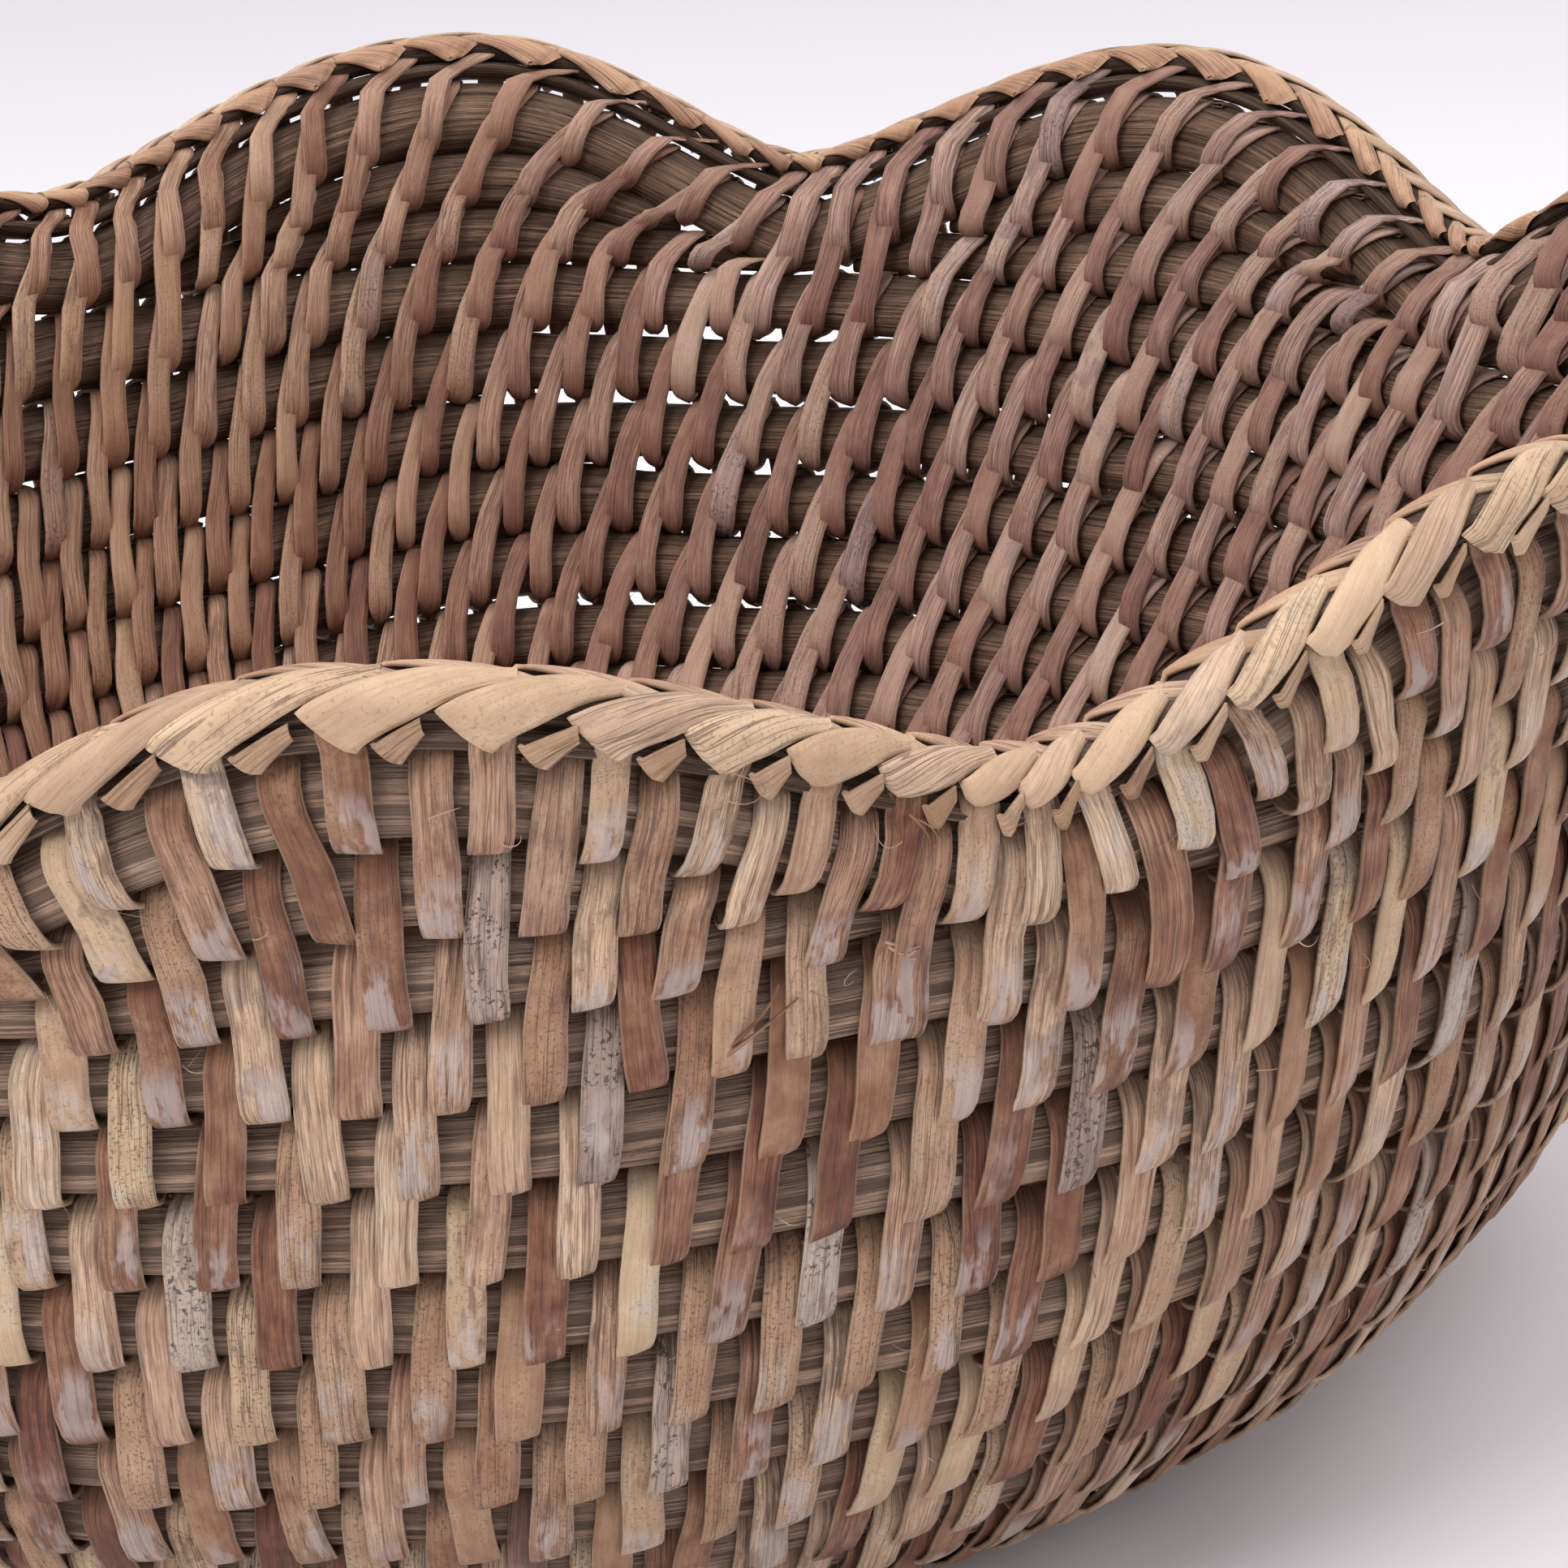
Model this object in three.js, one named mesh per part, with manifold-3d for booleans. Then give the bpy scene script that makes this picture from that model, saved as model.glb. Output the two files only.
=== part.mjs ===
// A scalloped coiled basket: round cane cores laid row on row in one rising coil, with short
// filler rows that lift eight lobes, a row under the rim, a thin rim core and a plaited border.
// Millimetres, +Z up. The origin is the centre of the flat underside of the start button.
import * as THREE from 'three';
import { mergeVertices } from 'three/addons/utils/BufferGeometryUtils.js';
import Module from 'manifold-3d';

// ---------- driving dimensions ----------
const U = 155;                 // reference rim radius
const PITCH = 9.25;            // rise of one coil row, measured along the wall
const WALL_RADIUS = 0.808 * U; // mean radius of the wall at the top of the first full row
const CORE_GAP = 1.2;          // room between two rows, where the binding strip passes
const CORE_OUT = 4.55;         // half thickness of a core across the wall, at its edge
const BASE_HALF = 4.1;         // half height of the flat bottom rows
const WALL_ROWS = 13;          // full rows in the wall
const BASE_ROWS = 5;           // turns of the bottom spiral
const SPLICE = 0.4;            // room between two spliced lengths of core
const RIM_CORE_R = 1.15;       // thin core under the border
const BORDER_HALF_H = 1.75;    // plaited border, half height
const BORDER_HALF_W = 3.1;     // plaited border, half width
const STRIP_T = 0.6;           // thickness of the peel strip
const STRIP_HALF_W = 1.7;      // half width of the peel strip
const STRIP_COLUMNS = 44;      // stitch columns drawn on the outside
const COLUMN_DRIFT = 0.016;    // each stitch sits this much further round than the one above, rad per row

// slope of the wall from the vertical, in radians, against the row number (row 0 is the top full row)
const SLOPE_AT = [-4, 0, 2, 4, 6, 8, 10, 13];
const SLOPE = [0.3416, 0.2853, 0.2008, 0.3209, 0.5239, 0.7673, 1.1498, 1.5708];

// the eight lobes: azimuth of each peak and of the valley after it, in degrees
const PEAK = [309.5, 343.0, 376.5, 414.0, 455.5, 514.9, 561.3, 620.3];
const VALLEY = [326.0, 358.6, 389.9, 437.3, 481.9, 538.8, 599.3, 645.4];
// how many rows each lobe is raised, how much each valley is raised or sunk (in units of U)
const LIFT = [1.756, 1.8, 1.687, 1.83, 1.575, 1.846, 1.8, 2.086];
const SAG = [0.0254, -0.0009, -0.0163, -0.0156, 0.0185, 0.0003, -0.0151, 0.0164];
// the hand-made plan is slightly out of round: peak, valley, peak, valley ... (in units of U)
const OVAL = [-0.0298, -0.0468, -0.0525, 0.0032, 0.0199, -0.0315, -0.0203, 0.0156, 0.0527, -0.0101, 0.0016, 0, 0, 0.0743, 0.0348, -0.0028];
const STEP_LOBE = 6;           // the coil climbs to the next row under the rising half of this lobe

// ---------- the wall surface ----------
const TAU = Math.PI * 2, rad = (d) => d * Math.PI / 180;
const lerpTable = (xs, ys, x) => {
  if (x <= xs[0]) return ys[0];
  for (let i = 1; i < xs.length; i++) if (x <= xs[i]) return ys[i - 1] + (ys[i] - ys[i - 1]) * (x - xs[i - 1]) / (xs[i] - xs[i - 1]);
  return ys[ys.length - 1];
};
const smooth = (t) => { const c = Math.min(1, Math.max(0, t)); return c * c * (3 - 2 * c); };
const DS = 0.05, S0 = -4, S1 = 13;
const profR = [], profZ = [];
{
  let r = 0, z = 0; profR.push(0); profZ.push(0);
  for (let i = 1; i <= Math.round((S1 - S0) / DS); i++) {
    const a = lerpTable(SLOPE_AT, SLOPE, S0 + (i - 1) * DS), b = lerpTable(SLOPE_AT, SLOPE, S0 + i * DS);
    r -= (Math.sin(a) + Math.sin(b)) / 2 * DS * PITCH; z -= (Math.cos(a) + Math.cos(b)) / 2 * DS * PITCH;
    profR.push(r); profZ.push(z);
  }
}
const tab = (t, s) => { const x = Math.min(t.length - 1.0001, Math.max(0, (s - S0) / DS)), i = Math.floor(x); return t[i] + (t[i + 1] - t[i]) * (x - i); };
const R_SHIFT = WALL_RADIUS - tab(profR, 0), Z_SHIFT = BASE_HALF - profZ[profZ.length - 1];
const radiusAt = (s) => s <= S1 ? tab(profR, s) + R_SHIFT : profR[profR.length - 1] + R_SHIFT - (s - S1) * PITCH;
const heightAt = (s) => tab(profZ, Math.min(s, S1)) + Z_SHIFT;
const slopeAt = (s) => s >= S1 ? Math.PI / 2 : lerpTable(SLOPE_AT, SLOPE, s);
const CENTRE_S = S1 + radiusAt(S1) / PITCH;

const peakA = PEAK.map(rad), valleyA = VALLEY.map(rad);
const ring = [];
for (let k = 0; k < 8; k++) { ring.push([peakA[k], OVAL[2 * k]]); ring.push([valleyA[k], OVAL[2 * k + 1]]); }
const cosineRing = (knots, phi) => {
  const a0 = knots[0][0], t = ((phi - a0) % TAU + TAU) % TAU + a0, n = knots.length;
  for (let i = 0; i < n; i++) {
    const p = knots[i], q = i + 1 < n ? knots[i + 1] : [knots[0][0] + TAU, knots[0][1]];
    if (t <= q[0] || i === n - 1) { const u = (t - p[0]) / (q[0] - p[0]); return p[1] + (q[1] - p[1]) * (0.5 - 0.5 * Math.cos(Math.PI * u)); }
  }
  return knots[0][1];
};
const sagKnots = valleyA.map((a, k) => [a, SAG[k]]);
const ovalWeight = (s) => lerpTable([-3, 3, 9, 14], [1.02, 0.91, 1, 0], s);
const sagWeight = (s) => lerpTable([0, 1, 2, 3, 4, 6], [1, 0.62, 0.38, 0.2, 0.1, 0], s);
// a point of the wall: azimuth phi, row position s (0 at the top of the first full row, growing downwards), a mm outwards
const wallPoint = (phi, s, a) => {
  const b = slopeAt(s);
  const r = radiusAt(s) + U * ovalWeight(s) * cosineRing(ring, phi) + a * Math.cos(b);
  const z = heightAt(s) + U * sagWeight(s) * cosineRing(sagKnots, phi) - a * Math.sin(b);
  return [r * Math.cos(phi), r * Math.sin(phi), z];
};
// lobe k lies between valley k-1 and valley k; u runs from -1 to 1 across it
const lobeStart = (k) => k === 0 ? valleyA[7] - TAU : valleyA[k - 1];
const lobeAt = (phi) => {
  const a0 = lobeStart(0), t = ((phi - a0) % TAU + TAU) % TAU + a0;
  for (let k = 0; k < 8; k++) if (t < valleyA[k] || k === 7) {
    const u = t < peakA[k] ? -(peakA[k] - t) / (peakA[k] - lobeStart(k)) : (t - peakA[k]) / (valleyA[k] - peakA[k]);
    return [k, Math.max(-1, Math.min(1, u))];
  }
  return [7, 1];
};
const bumpShape = (u) => {
  const e = 0.12; let c = Math.cos(Math.PI * u / 2); c = (Math.sqrt(c * c + e * e) - e) / (Math.sqrt(1 + e * e) - e);
  return 0.6 * c + 0.4 * (0.5 + 0.5 * Math.cos(Math.PI * u));
};
const lift = (phi) => { const [k, u] = lobeAt(phi); return LIFT[k] * bumpShape(u); };
const upperShare = (u) => 0.5 * smooth((0.78 - Math.abs(u)) / 0.36);
const lowerThickness = (phi) => { const [k, u] = lobeAt(phi); return LIFT[k] * bumpShape(u) * (1 - upperShare(u)); };
// the climb of the coil: 0 round the basket, rising to 1 under the first half of the step lobe
const STEP_END = peakA[STEP_LOBE];
const STEP_T = LIFT[STEP_LOBE] * 0.5;
const climb = (turn) => {            // turn: angle travelled since the last step, 0..TAU
  const phi = STEP_END + turn;
  if (turn < TAU - (peakA[STEP_LOBE] - lobeStart(STEP_LOBE))) return 0;
  return Math.min(1, lowerThickness(phi - 1e-7) / STEP_T);
};
// top edge of row k after a given turn; the inner turns of the bottom even out into a plain spiral
const evenOut = (k) => Math.min(1, Math.max(0, (k - WALL_ROWS) / 5));
const rowTop = (k, turn) => k - ((1 - evenOut(k)) * climb(turn) + evenOut(k) * turn / TAU);

// ---------- solids ----------
const clean = (g) => { g.deleteAttribute('normal'); g.deleteAttribute('uv'); return mergeVertices(g, 1e-6); };
const section = (n, turnBy) => new THREE.Shape([...Array(n)].map((_, i) => { const t = turnBy + i * TAU / n; return new THREE.Vector2(Math.cos(t), Math.sin(t)); }));
// a tube swept round the wall: f(t) gives azimuth, row position, half thickness across the wall and along it (mm)
const sweep = (n, turnBy, steps, f) => {
  const g = clean(new THREE.ExtrudeGeometry(section(n, turnBy), { depth: 1, steps, bevelEnabled: false }));
  const p = g.getAttribute('position');
  for (let i = 0; i < p.count; i++) {
    const { phi, s, out, along } = f(p.getZ(i));
    p.setXYZ(i, ...wallPoint(phi, s + p.getY(i) * along / PITCH, p.getX(i) * out));
  }
  return finish(g);
};
const finish = (g) => { g.computeVertexNormals(); return g; };
const FLAT = 1 / Math.cos(Math.PI / 6);

const group = new THREE.Group();
const CANE = new THREE.Color(0.50, 0.36, 0.23);
const add = (name, geometry, colour, roughness = 0.75) => {
  const mesh = new THREE.Mesh(geometry, new THREE.MeshStandardMaterial({ color: colour, roughness, metalness: 0 }));
  mesh.name = name; group.add(mesh); return mesh;
};
const tint = (k) => CANE.clone().offsetHSL(0, 0, 0.05 * Math.sin(k * 2.4));

// full rows of the wall, each one turn of the rising coil, spliced end to end
const WALL_STEPS = 40;
const stepFrom = 1 - (peakA[STEP_LOBE] - lobeStart(STEP_LOBE)) / TAU;
const warp = (t) => t < 0.875 ? t / 0.875 * stepFrom : stepFrom + (t - 0.875) / 0.125 * (1 - stepFrom); // more steps under the climb
for (let k = 0; k < WALL_ROWS; k++) {
  const flatness = smooth((slopeAt(k + 0.5) - 1.1) / 0.35);
  add(`wall_coil_${String(k + 1).padStart(2, '0')}`, sweep(6, 0, WALL_STEPS, (t) => {
    const r = radiusAt(k + 0.5), cut = SPLICE / 2 / r, turn = cut + (TAU - 2 * cut) * warp(t);
    const top = rowTop(k, turn), bottom = rowTop(k + 1, turn);
    return { phi: STEP_END + turn, s: (top + bottom) / 2, out: CORE_OUT - 0.35 * flatness, along: ((bottom - top) * PITCH - CORE_GAP) / 2 * FLAT };
  }), tint(k));
}

// the bottom: one long core wound in a flat spiral round the start button, its first turn tapering in
const LAST = WALL_ROWS + BASE_ROWS;
add('base_spiral', sweep(6, Math.PI / 6, 21 * BASE_ROWS, (t) => {
  const cut = SPLICE / 2 / radiusAt(WALL_ROWS + 0.5), w0 = 0.22 * TAU, w = w0 + t * ((BASE_ROWS + 1) * TAU - cut - w0);
  const k = LAST - Math.min(BASE_ROWS, Math.floor(w / TAU + 1e-9)), turn = w - (LAST - k) * TAU;
  const top = rowTop(k, turn), bottom = k === LAST ? LAST : rowTop(k + 1, turn);
  const along = Math.max(0.4, ((bottom - top) * PITCH - CORE_GAP) / 2);
  return { phi: STEP_END + turn, s: (top + bottom) / 2, out: BASE_HALF * FLAT, along };
}), tint(20));
const BUTTON_R = (CENTRE_S - LAST) * PITCH - 0.4;
const button = add('start_button', finish(clean(new THREE.CylinderGeometry(BUTTON_R, BUTTON_R, 2 * BASE_HALF, 18))), tint(22));
button.rotation.x = Math.PI / 2; button.position.z = BASE_HALF;

// short filler rows: two in each lobe; under the step lobe the top end of the coil is the lower one
const filler = (name, k, u0, u1, low, tintBy) => {
  const a0 = lobeStart(k), at = (u) => u < 0 ? peakA[k] + u * (peakA[k] - a0) : peakA[k] + u * (valleyA[k] - peakA[k]);
  add(name, sweep(6, 0, low ? 8 : 6, (t) => {
    const u = u0 + (u1 - u0) * t, phi = at(u), all = LIFT[k] * bumpShape(u), lower = all * (1 - upperShare(u));
    const top = low ? -lower : -all, bottom = low ? 0 : -lower;
    const size = Math.max(0.45, ((bottom - top) * PITCH - CORE_GAP) / 2);
    return { phi, s: (top + bottom) / 2, out: Math.min(CORE_OUT, size * 1.1 + 0.3), along: size * FLAT };
  }), tint(30 + tintBy));
};
for (let k = 0; k < 8; k++) {
  const step = k === STEP_LOBE;
  if (!step) filler(`lobe_${k + 1}_filler_lower`, k, -0.86, 0.86, true, k);
  filler(`lobe_${k + 1}_filler_upper`, k, -0.6, 0.6, false, k + 9);
}
{ // the tapering top end of the coil, in the second half of the step lobe
  const k = STEP_LOBE, cut = SPLICE / 2 / radiusAt(0);
  add('coil_end', sweep(6, 0, 5, (t) => {
    const u = 0.86 * t, phi = peakA[k] + u * (valleyA[k] - peakA[k]) + cut * (1 - t);
    const lower = LIFT[k] * bumpShape(u) * (1 - upperShare(u)) * (1 + (1 / STEP_T - 1) * (1 - t) ** 2);
    const size = Math.max(0.45, (lower * PITCH - CORE_GAP) / 2);
    return { phi, s: -lower / 2, out: Math.min(CORE_OUT, size * 1.1 + 0.3), along: size * FLAT };
  }), tint(50));
}

// the row under the rim follows the lobes; its ends are spliced in the step lobe
const LOBE_STEPS = 96;
add('under_rim_coil', sweep(6, 0, LOBE_STEPS, (t) => {
  const cut = SPLICE / 2 / radiusAt(-1), phi = STEP_END + cut + (TAU - 2 * cut) * t;
  return { phi, s: -lift(phi) - 0.5, out: CORE_OUT, along: (PITCH - CORE_GAP) / 2 * FLAT };
}), tint(51));
add('rim_core', sweep(6, 0, LOBE_STEPS, (t) => {
  const cut = SPLICE / 2 / radiusAt(-1), phi = STEP_END + cut + (TAU - 2 * cut) * t;
  return { phi, s: -lift(phi) - 1 - (RIM_CORE_R + 0.1) / PITCH, out: RIM_CORE_R * 1.3, along: RIM_CORE_R * FLAT };
}), new THREE.Color(0.34, 0.24, 0.16));
add('rim_border', sweep(6, 0, LOBE_STEPS, (t) => {
  const cut = SPLICE / 2 / radiusAt(-1), phi = STEP_END + cut + (TAU - 2 * cut) * t;
  return { phi, s: -lift(phi) - 1 - (2 * RIM_CORE_R + 0.9 + BORDER_HALF_H) / PITCH, out: BORDER_HALF_W, along: BORDER_HALF_H * FLAT };
}), new THREE.Color(0.72, 0.58, 0.40));

// the binding strip, inside and outside: some columns of its stitches, joined along the top row
const wasm = await Module();
wasm.setup();
const toSolid = (g) => new wasm.Manifold(new wasm.Mesh({ numProp: 3, vertProperties: new Float32Array(g.getAttribute('position').array), triVerts: new Uint32Array(g.index.array) }));
const fromSolid = (m) => {
  const mesh = m.getMesh(), g = new THREE.BufferGeometry();
  g.setAttribute('position', new THREE.BufferAttribute(new Float32Array(mesh.vertProperties), 3));
  g.setIndex(new THREE.BufferAttribute(new Uint32Array(mesh.triVerts), 1));
  return finish(g);
};
const slab = (w, h, steps, place) => {
  const shape = new THREE.Shape([[-w, -h], [w, -h], [w, h], [-w, h]].map(([x, y]) => new THREE.Vector2(x, y)));
  const g = clean(new THREE.ExtrudeGeometry(shape, { depth: 1, steps, bevelEnabled: false })), p = g.getAttribute('position');
  for (let i = 0; i < p.count; i++) p.setXYZ(i, ...place(p.getX(i), p.getY(i), p.getZ(i)));
  return g;
};
const binder = (name, middle, columns, levels, drift) => {
  const from = STEP_END + 0.3, gap = 0.01, span = TAU - 2 * gap, cell = span / columns, h = STRIP_T / 2;
  let body = toSolid(slab(h, 0.24, 100, (x, y, z) => { const phi = from + gap + span * z; return wallPoint(phi, -lift(phi) - 0.7 + y, middle + x); }));
  for (let j = 0; j < columns; j++) {
    const mid = from + gap + cell * (j + 0.5), top = -lift(mid) - 0.75, all = [top, ...levels.filter((s) => s > top + 0.8)];
    body = body.add(toSolid(slab(STRIP_HALF_W, h - 0.06, all.length - 1, (x, y, z) => {
      const s = all[Math.round(z * (all.length - 1))];
      return wallPoint(mid - drift * (s - top) + x / (radiusAt(s) + U * ovalWeight(s) * cosineRing(ring, mid)), s, middle + y);
    })));
  }
  add(name, fromSolid(body), new THREE.Color(0.62, 0.47, 0.31), 0.6);
};
binder('binding_strip_outside', CORE_OUT + 1.35, STRIP_COLUMNS, [-1, 1.5, 4, 5.6, 7, 8.3, 9.6], COLUMN_DRIFT);
binder('binding_strip_inside', -CORE_OUT - 2.2, STRIP_COLUMNS / 2, [-0.5, 2, 4.5, 6.6, 8.2, 9.6], COLUMN_DRIFT);

export default group;
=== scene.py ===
import math

import bpy
import numpy as np
from mathutils import Matrix, Vector


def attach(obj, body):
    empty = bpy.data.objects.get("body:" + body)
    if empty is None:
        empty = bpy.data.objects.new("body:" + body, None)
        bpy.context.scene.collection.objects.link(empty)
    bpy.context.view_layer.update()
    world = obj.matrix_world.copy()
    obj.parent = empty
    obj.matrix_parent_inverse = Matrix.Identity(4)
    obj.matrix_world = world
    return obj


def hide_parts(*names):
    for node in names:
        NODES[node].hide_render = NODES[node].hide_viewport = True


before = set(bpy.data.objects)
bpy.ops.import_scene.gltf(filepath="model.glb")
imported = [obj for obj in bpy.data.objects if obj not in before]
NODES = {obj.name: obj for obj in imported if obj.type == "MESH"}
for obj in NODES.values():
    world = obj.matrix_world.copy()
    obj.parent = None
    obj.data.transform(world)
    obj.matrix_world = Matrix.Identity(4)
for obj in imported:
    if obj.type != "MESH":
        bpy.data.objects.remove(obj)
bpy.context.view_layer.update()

# ------------------------------------------------------------------ the wall, as in the CAD (mm)
TAU = 2 * math.pi
U = 155.0
PITCH = 9.25
WALL_R = 0.808 * U
BASE_HALF = 4.1
WALL_ROWS, BASE_ROWS = 13, 5
LAST = WALL_ROWS + BASE_ROWS
SLOPE_AT = np.array([-4, 0, 2, 4, 6, 8, 10, 13.0])
SLOPE = np.array([0.3416, 0.2853, 0.2008, 0.3209, 0.5239, 0.7673, 1.1498, 1.5708])
PEAK = np.radians([309.5, 343.0, 376.5, 414.0, 455.5, 514.9, 561.3, 620.3])
VALLEY = np.radians([326.0, 358.6, 389.9, 437.3, 481.9, 538.8, 599.3, 645.4])
LIFT = np.array([1.756, 1.8, 1.687, 1.83, 1.575, 1.846, 1.8, 2.086])
SAG = np.array([0.0254, -0.0009, -0.0163, -0.0156, 0.0185, 0.0003, -0.0151, 0.0164])
OVAL = np.array([-0.0298, -0.0468, -0.0525, 0.0032, 0.0199, -0.0315, -0.0203, 0.0156,
                 0.0527, -0.0101, 0.0016, 0, 0, 0.0743, 0.0348, -0.0028])
STEP_LOBE = 6
START = np.concatenate([[VALLEY[7] - TAU], VALLEY[:7]])

_s = np.arange(-4, 13.0001, 0.05)
_b = np.interp(_s, SLOPE_AT, SLOPE)
_r = -np.concatenate([[0], np.cumsum((np.sin(_b[1:]) + np.sin(_b[:-1])) / 2 * 0.05 * PITCH)])
_z = -np.concatenate([[0], np.cumsum((np.cos(_b[1:]) + np.cos(_b[:-1])) / 2 * 0.05 * PITCH)])
_r = _r - np.interp(0, _s, _r) + WALL_R
_z = _z - _z[-1] + BASE_HALF
R_END = _r[-1]
CENTRE_S = 13 + R_END / PITCH


def slope(s):
    return np.where(s >= 13, math.pi / 2, np.interp(s, SLOPE_AT, SLOPE))


def radius(s):
    return np.where(s > 13, R_END - (s - 13) * PITCH, np.interp(s, _s, _r))


def height(s):
    return np.interp(s, _s, _z)


def ring_value(angles, values, phi):
    a = np.append(angles, angles[0] + TAU)
    v = np.append(values, values[0])
    t = (phi - a[0]) % TAU + a[0]
    i = np.clip(np.searchsorted(a, t, side="right") - 1, 0, len(a) - 2)
    f = 0.5 - 0.5 * np.cos(math.pi * (t - a[i]) / (a[i + 1] - a[i]))
    return v[i] + (v[i + 1] - v[i]) * f


OVAL_AT = np.stack([PEAK, VALLEY], 1).ravel()


def oval_weight(s):
    return np.interp(s, [-3, 3, 9, 14], [1.02, 0.91, 1, 0])


def wall(phi, s, a):
    """Azimuth, row position and distance outwards (mm) to a point in mm."""
    phi, s, a = np.broadcast_arrays(np.asarray(phi, float), np.asarray(s, float), np.asarray(a, float))
    b = slope(s)
    r = radius(s) + U * oval_weight(s) * ring_value(OVAL_AT, OVAL, phi) + a * np.cos(b)
    z = height(s) + U * np.interp(s, [0, 1, 2, 3, 4, 6], [1, 0.62, 0.38, 0.2, 0.1, 0]) * ring_value(VALLEY, SAG, phi) - a * np.sin(b)
    return np.stack([r * np.cos(phi), r * np.sin(phi), z], -1)


def lobe(phi):
    t = (phi - START[0]) % TAU + START[0]
    k = np.clip(np.searchsorted(VALLEY, t, side="right"), 0, 7)
    u = np.where(t < PEAK[k], -(PEAK[k] - t) / (PEAK[k] - START[k]), (t - PEAK[k]) / (VALLEY[k] - PEAK[k]))
    return k, np.clip(u, -1, 1)


def bump_shape(u):
    e = 0.12
    c = (np.sqrt(np.cos(math.pi * u / 2) ** 2 + e * e) - e) / (math.sqrt(1 + e * e) - e)
    return 0.6 * c + 0.4 * (0.5 + 0.5 * np.cos(math.pi * u))


def smooth(t):
    t = np.clip(t, 0, 1)
    return t * t * (3 - 2 * t)


def lift(phi):
    k, u = lobe(phi)
    return LIFT[k] * bump_shape(u)


def upper_share(u):
    return 0.5 * smooth((0.78 - np.abs(u)) / 0.36)


def lower_top(phi):
    """Thickness of the lower filler row, in rows."""
    k, u = lobe(phi)
    return LIFT[k] * bump_shape(u) * (1 - upper_share(u))


def lift_slope(phi):
    d = math.radians(2.5)
    return (lift(phi + d) - lift(phi - d)) / (2 * d)


STEP_END = PEAK[STEP_LOBE]
STEP_T = LIFT[STEP_LOBE] * 0.5


def turn_of(phi):
    return (phi - STEP_END) % TAU


def climb(phi):
    t = turn_of(phi)
    return np.where(t < TAU - (PEAK[STEP_LOBE] - START[STEP_LOBE]), 0.0, np.minimum(1, lower_top(phi) / STEP_T))


def row_top(k, phi):
    e = min(1.0, max(0.0, (k - WALL_ROWS) / 5))
    return k - ((1 - e) * climb(phi) + e * turn_of(phi) / TAU)


# how far side and lower rows differ in the weave: the far wall is laced more loosely
def looseness(phi, s):
    d = np.abs((phi - math.radians(92) + math.pi) % TAU - math.pi)
    return smooth((math.radians(74) - d) / math.radians(34)) * smooth((7.8 - s) / 2.0)


# ------------------------------------------------------------------ mesh building
OBJ = {}


def make(name, verts, faces, replaces=(), mat=None, smooth_faces=True, attrs=None, body="root"):
    """verts in mm as an (n, 3) array, faces as an (m, 4) array of indices."""
    me = bpy.data.meshes.new(name)
    v = np.asarray(verts, np.float32) * 0.001
    f = np.asarray(faces, np.int32)
    me.vertices.add(len(v))
    me.vertices.foreach_set("co", v.ravel())
    me.loops.add(f.size)
    me.loops.foreach_set("vertex_index", f.ravel())
    me.polygons.add(len(f))
    me.polygons.foreach_set("loop_start", np.arange(0, f.size, f.shape[1], dtype=np.int32))
    me.polygons.foreach_set("loop_total", np.full(len(f), f.shape[1], np.int32))
    me.polygons.foreach_set("use_smooth", np.full(len(f), smooth_faces, bool))
    for key, val in (attrs or {}).items():
        a = me.attributes.new(key, "FLOAT_VECTOR", "POINT")
        a.data.foreach_set("vector", np.asarray(val, np.float32).ravel())
    me.update()
    me.validate()
    ob = bpy.data.objects.new(name, me)
    bpy.context.scene.collection.objects.link(ob)
    if mat is not None:
        me.materials.append(mat)
    if replaces:
        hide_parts(*replaces)
    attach(ob, body)
    OBJ[name] = ob
    return ob


def strip_faces(n, m, q, closed_ends=True):
    """n strips, each an (m, q) closed tube of section points."""
    i = np.arange(m - 1)[:, None] * q
    j = np.arange(q)[None, :]
    jn = (j + 1) % q
    one = np.stack([i + j, i + jn, i + q + jn, i + q + j], -1).reshape(-1, 4)
    return (one[None] + (np.arange(n) * (m * q))[:, None, None]).reshape(-1, 4)


def thicken(top, t, crown=0.0):
    """top: (n, m, q, 3) grid of the strip's upper face. Returns the closed section (n, m, 2q, 3)."""
    du = np.gradient(top, axis=1)
    dv = np.gradient(top, axis=2)
    nrm = np.cross(dv, du)
    nrm /= np.linalg.norm(nrm, axis=-1, keepdims=True) + 1e-9
    low = top - nrm * t
    return np.concatenate([top, low[:, :, ::-1]], axis=2), nrm


# ------------------------------------------------------------------ the stitch path round two rows
def _path():
    n = 2.45
    sg, c = [], []

    def arc(a0, a1, row, count):
        for t in np.radians(np.linspace(a0, a1, count)):
            st, ct = math.sin(t), math.cos(t)
            sg.append(row + 0.5 - 0.5 * math.copysign(abs(st) ** (2 / n), st))
            c.append(math.copysign(abs(ct) ** (2 / n), ct))

    arc(118, 6, 0, 40)
    m = len(sg)
    for f in np.linspace(0.1, 0.9, 9):
        sg.append(0.47 + f * 1.06)
        c.append(1.0)
    arc(-6, -174, 1, 60)
    for f in np.linspace(0.1, 0.9, 9):
        sg.append(1.53 - f * 1.06)
        c.append(-1.0)
    arc(174, 72, 0, 40)
    sg, c = np.array(sg), np.array(c)
    ell = np.concatenate([[0], np.cumsum(np.hypot(np.diff(sg) * PITCH, np.diff(c) * 4.3))])
    return sg, c, ell


P_SIG, P_COS, P_ELL = _path()
_in0 = int(np.argmax(P_SIG >= 1.999))          # where the path is at the bottom gap
ELL_BOTTOM = P_ELL[_in0]
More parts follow.
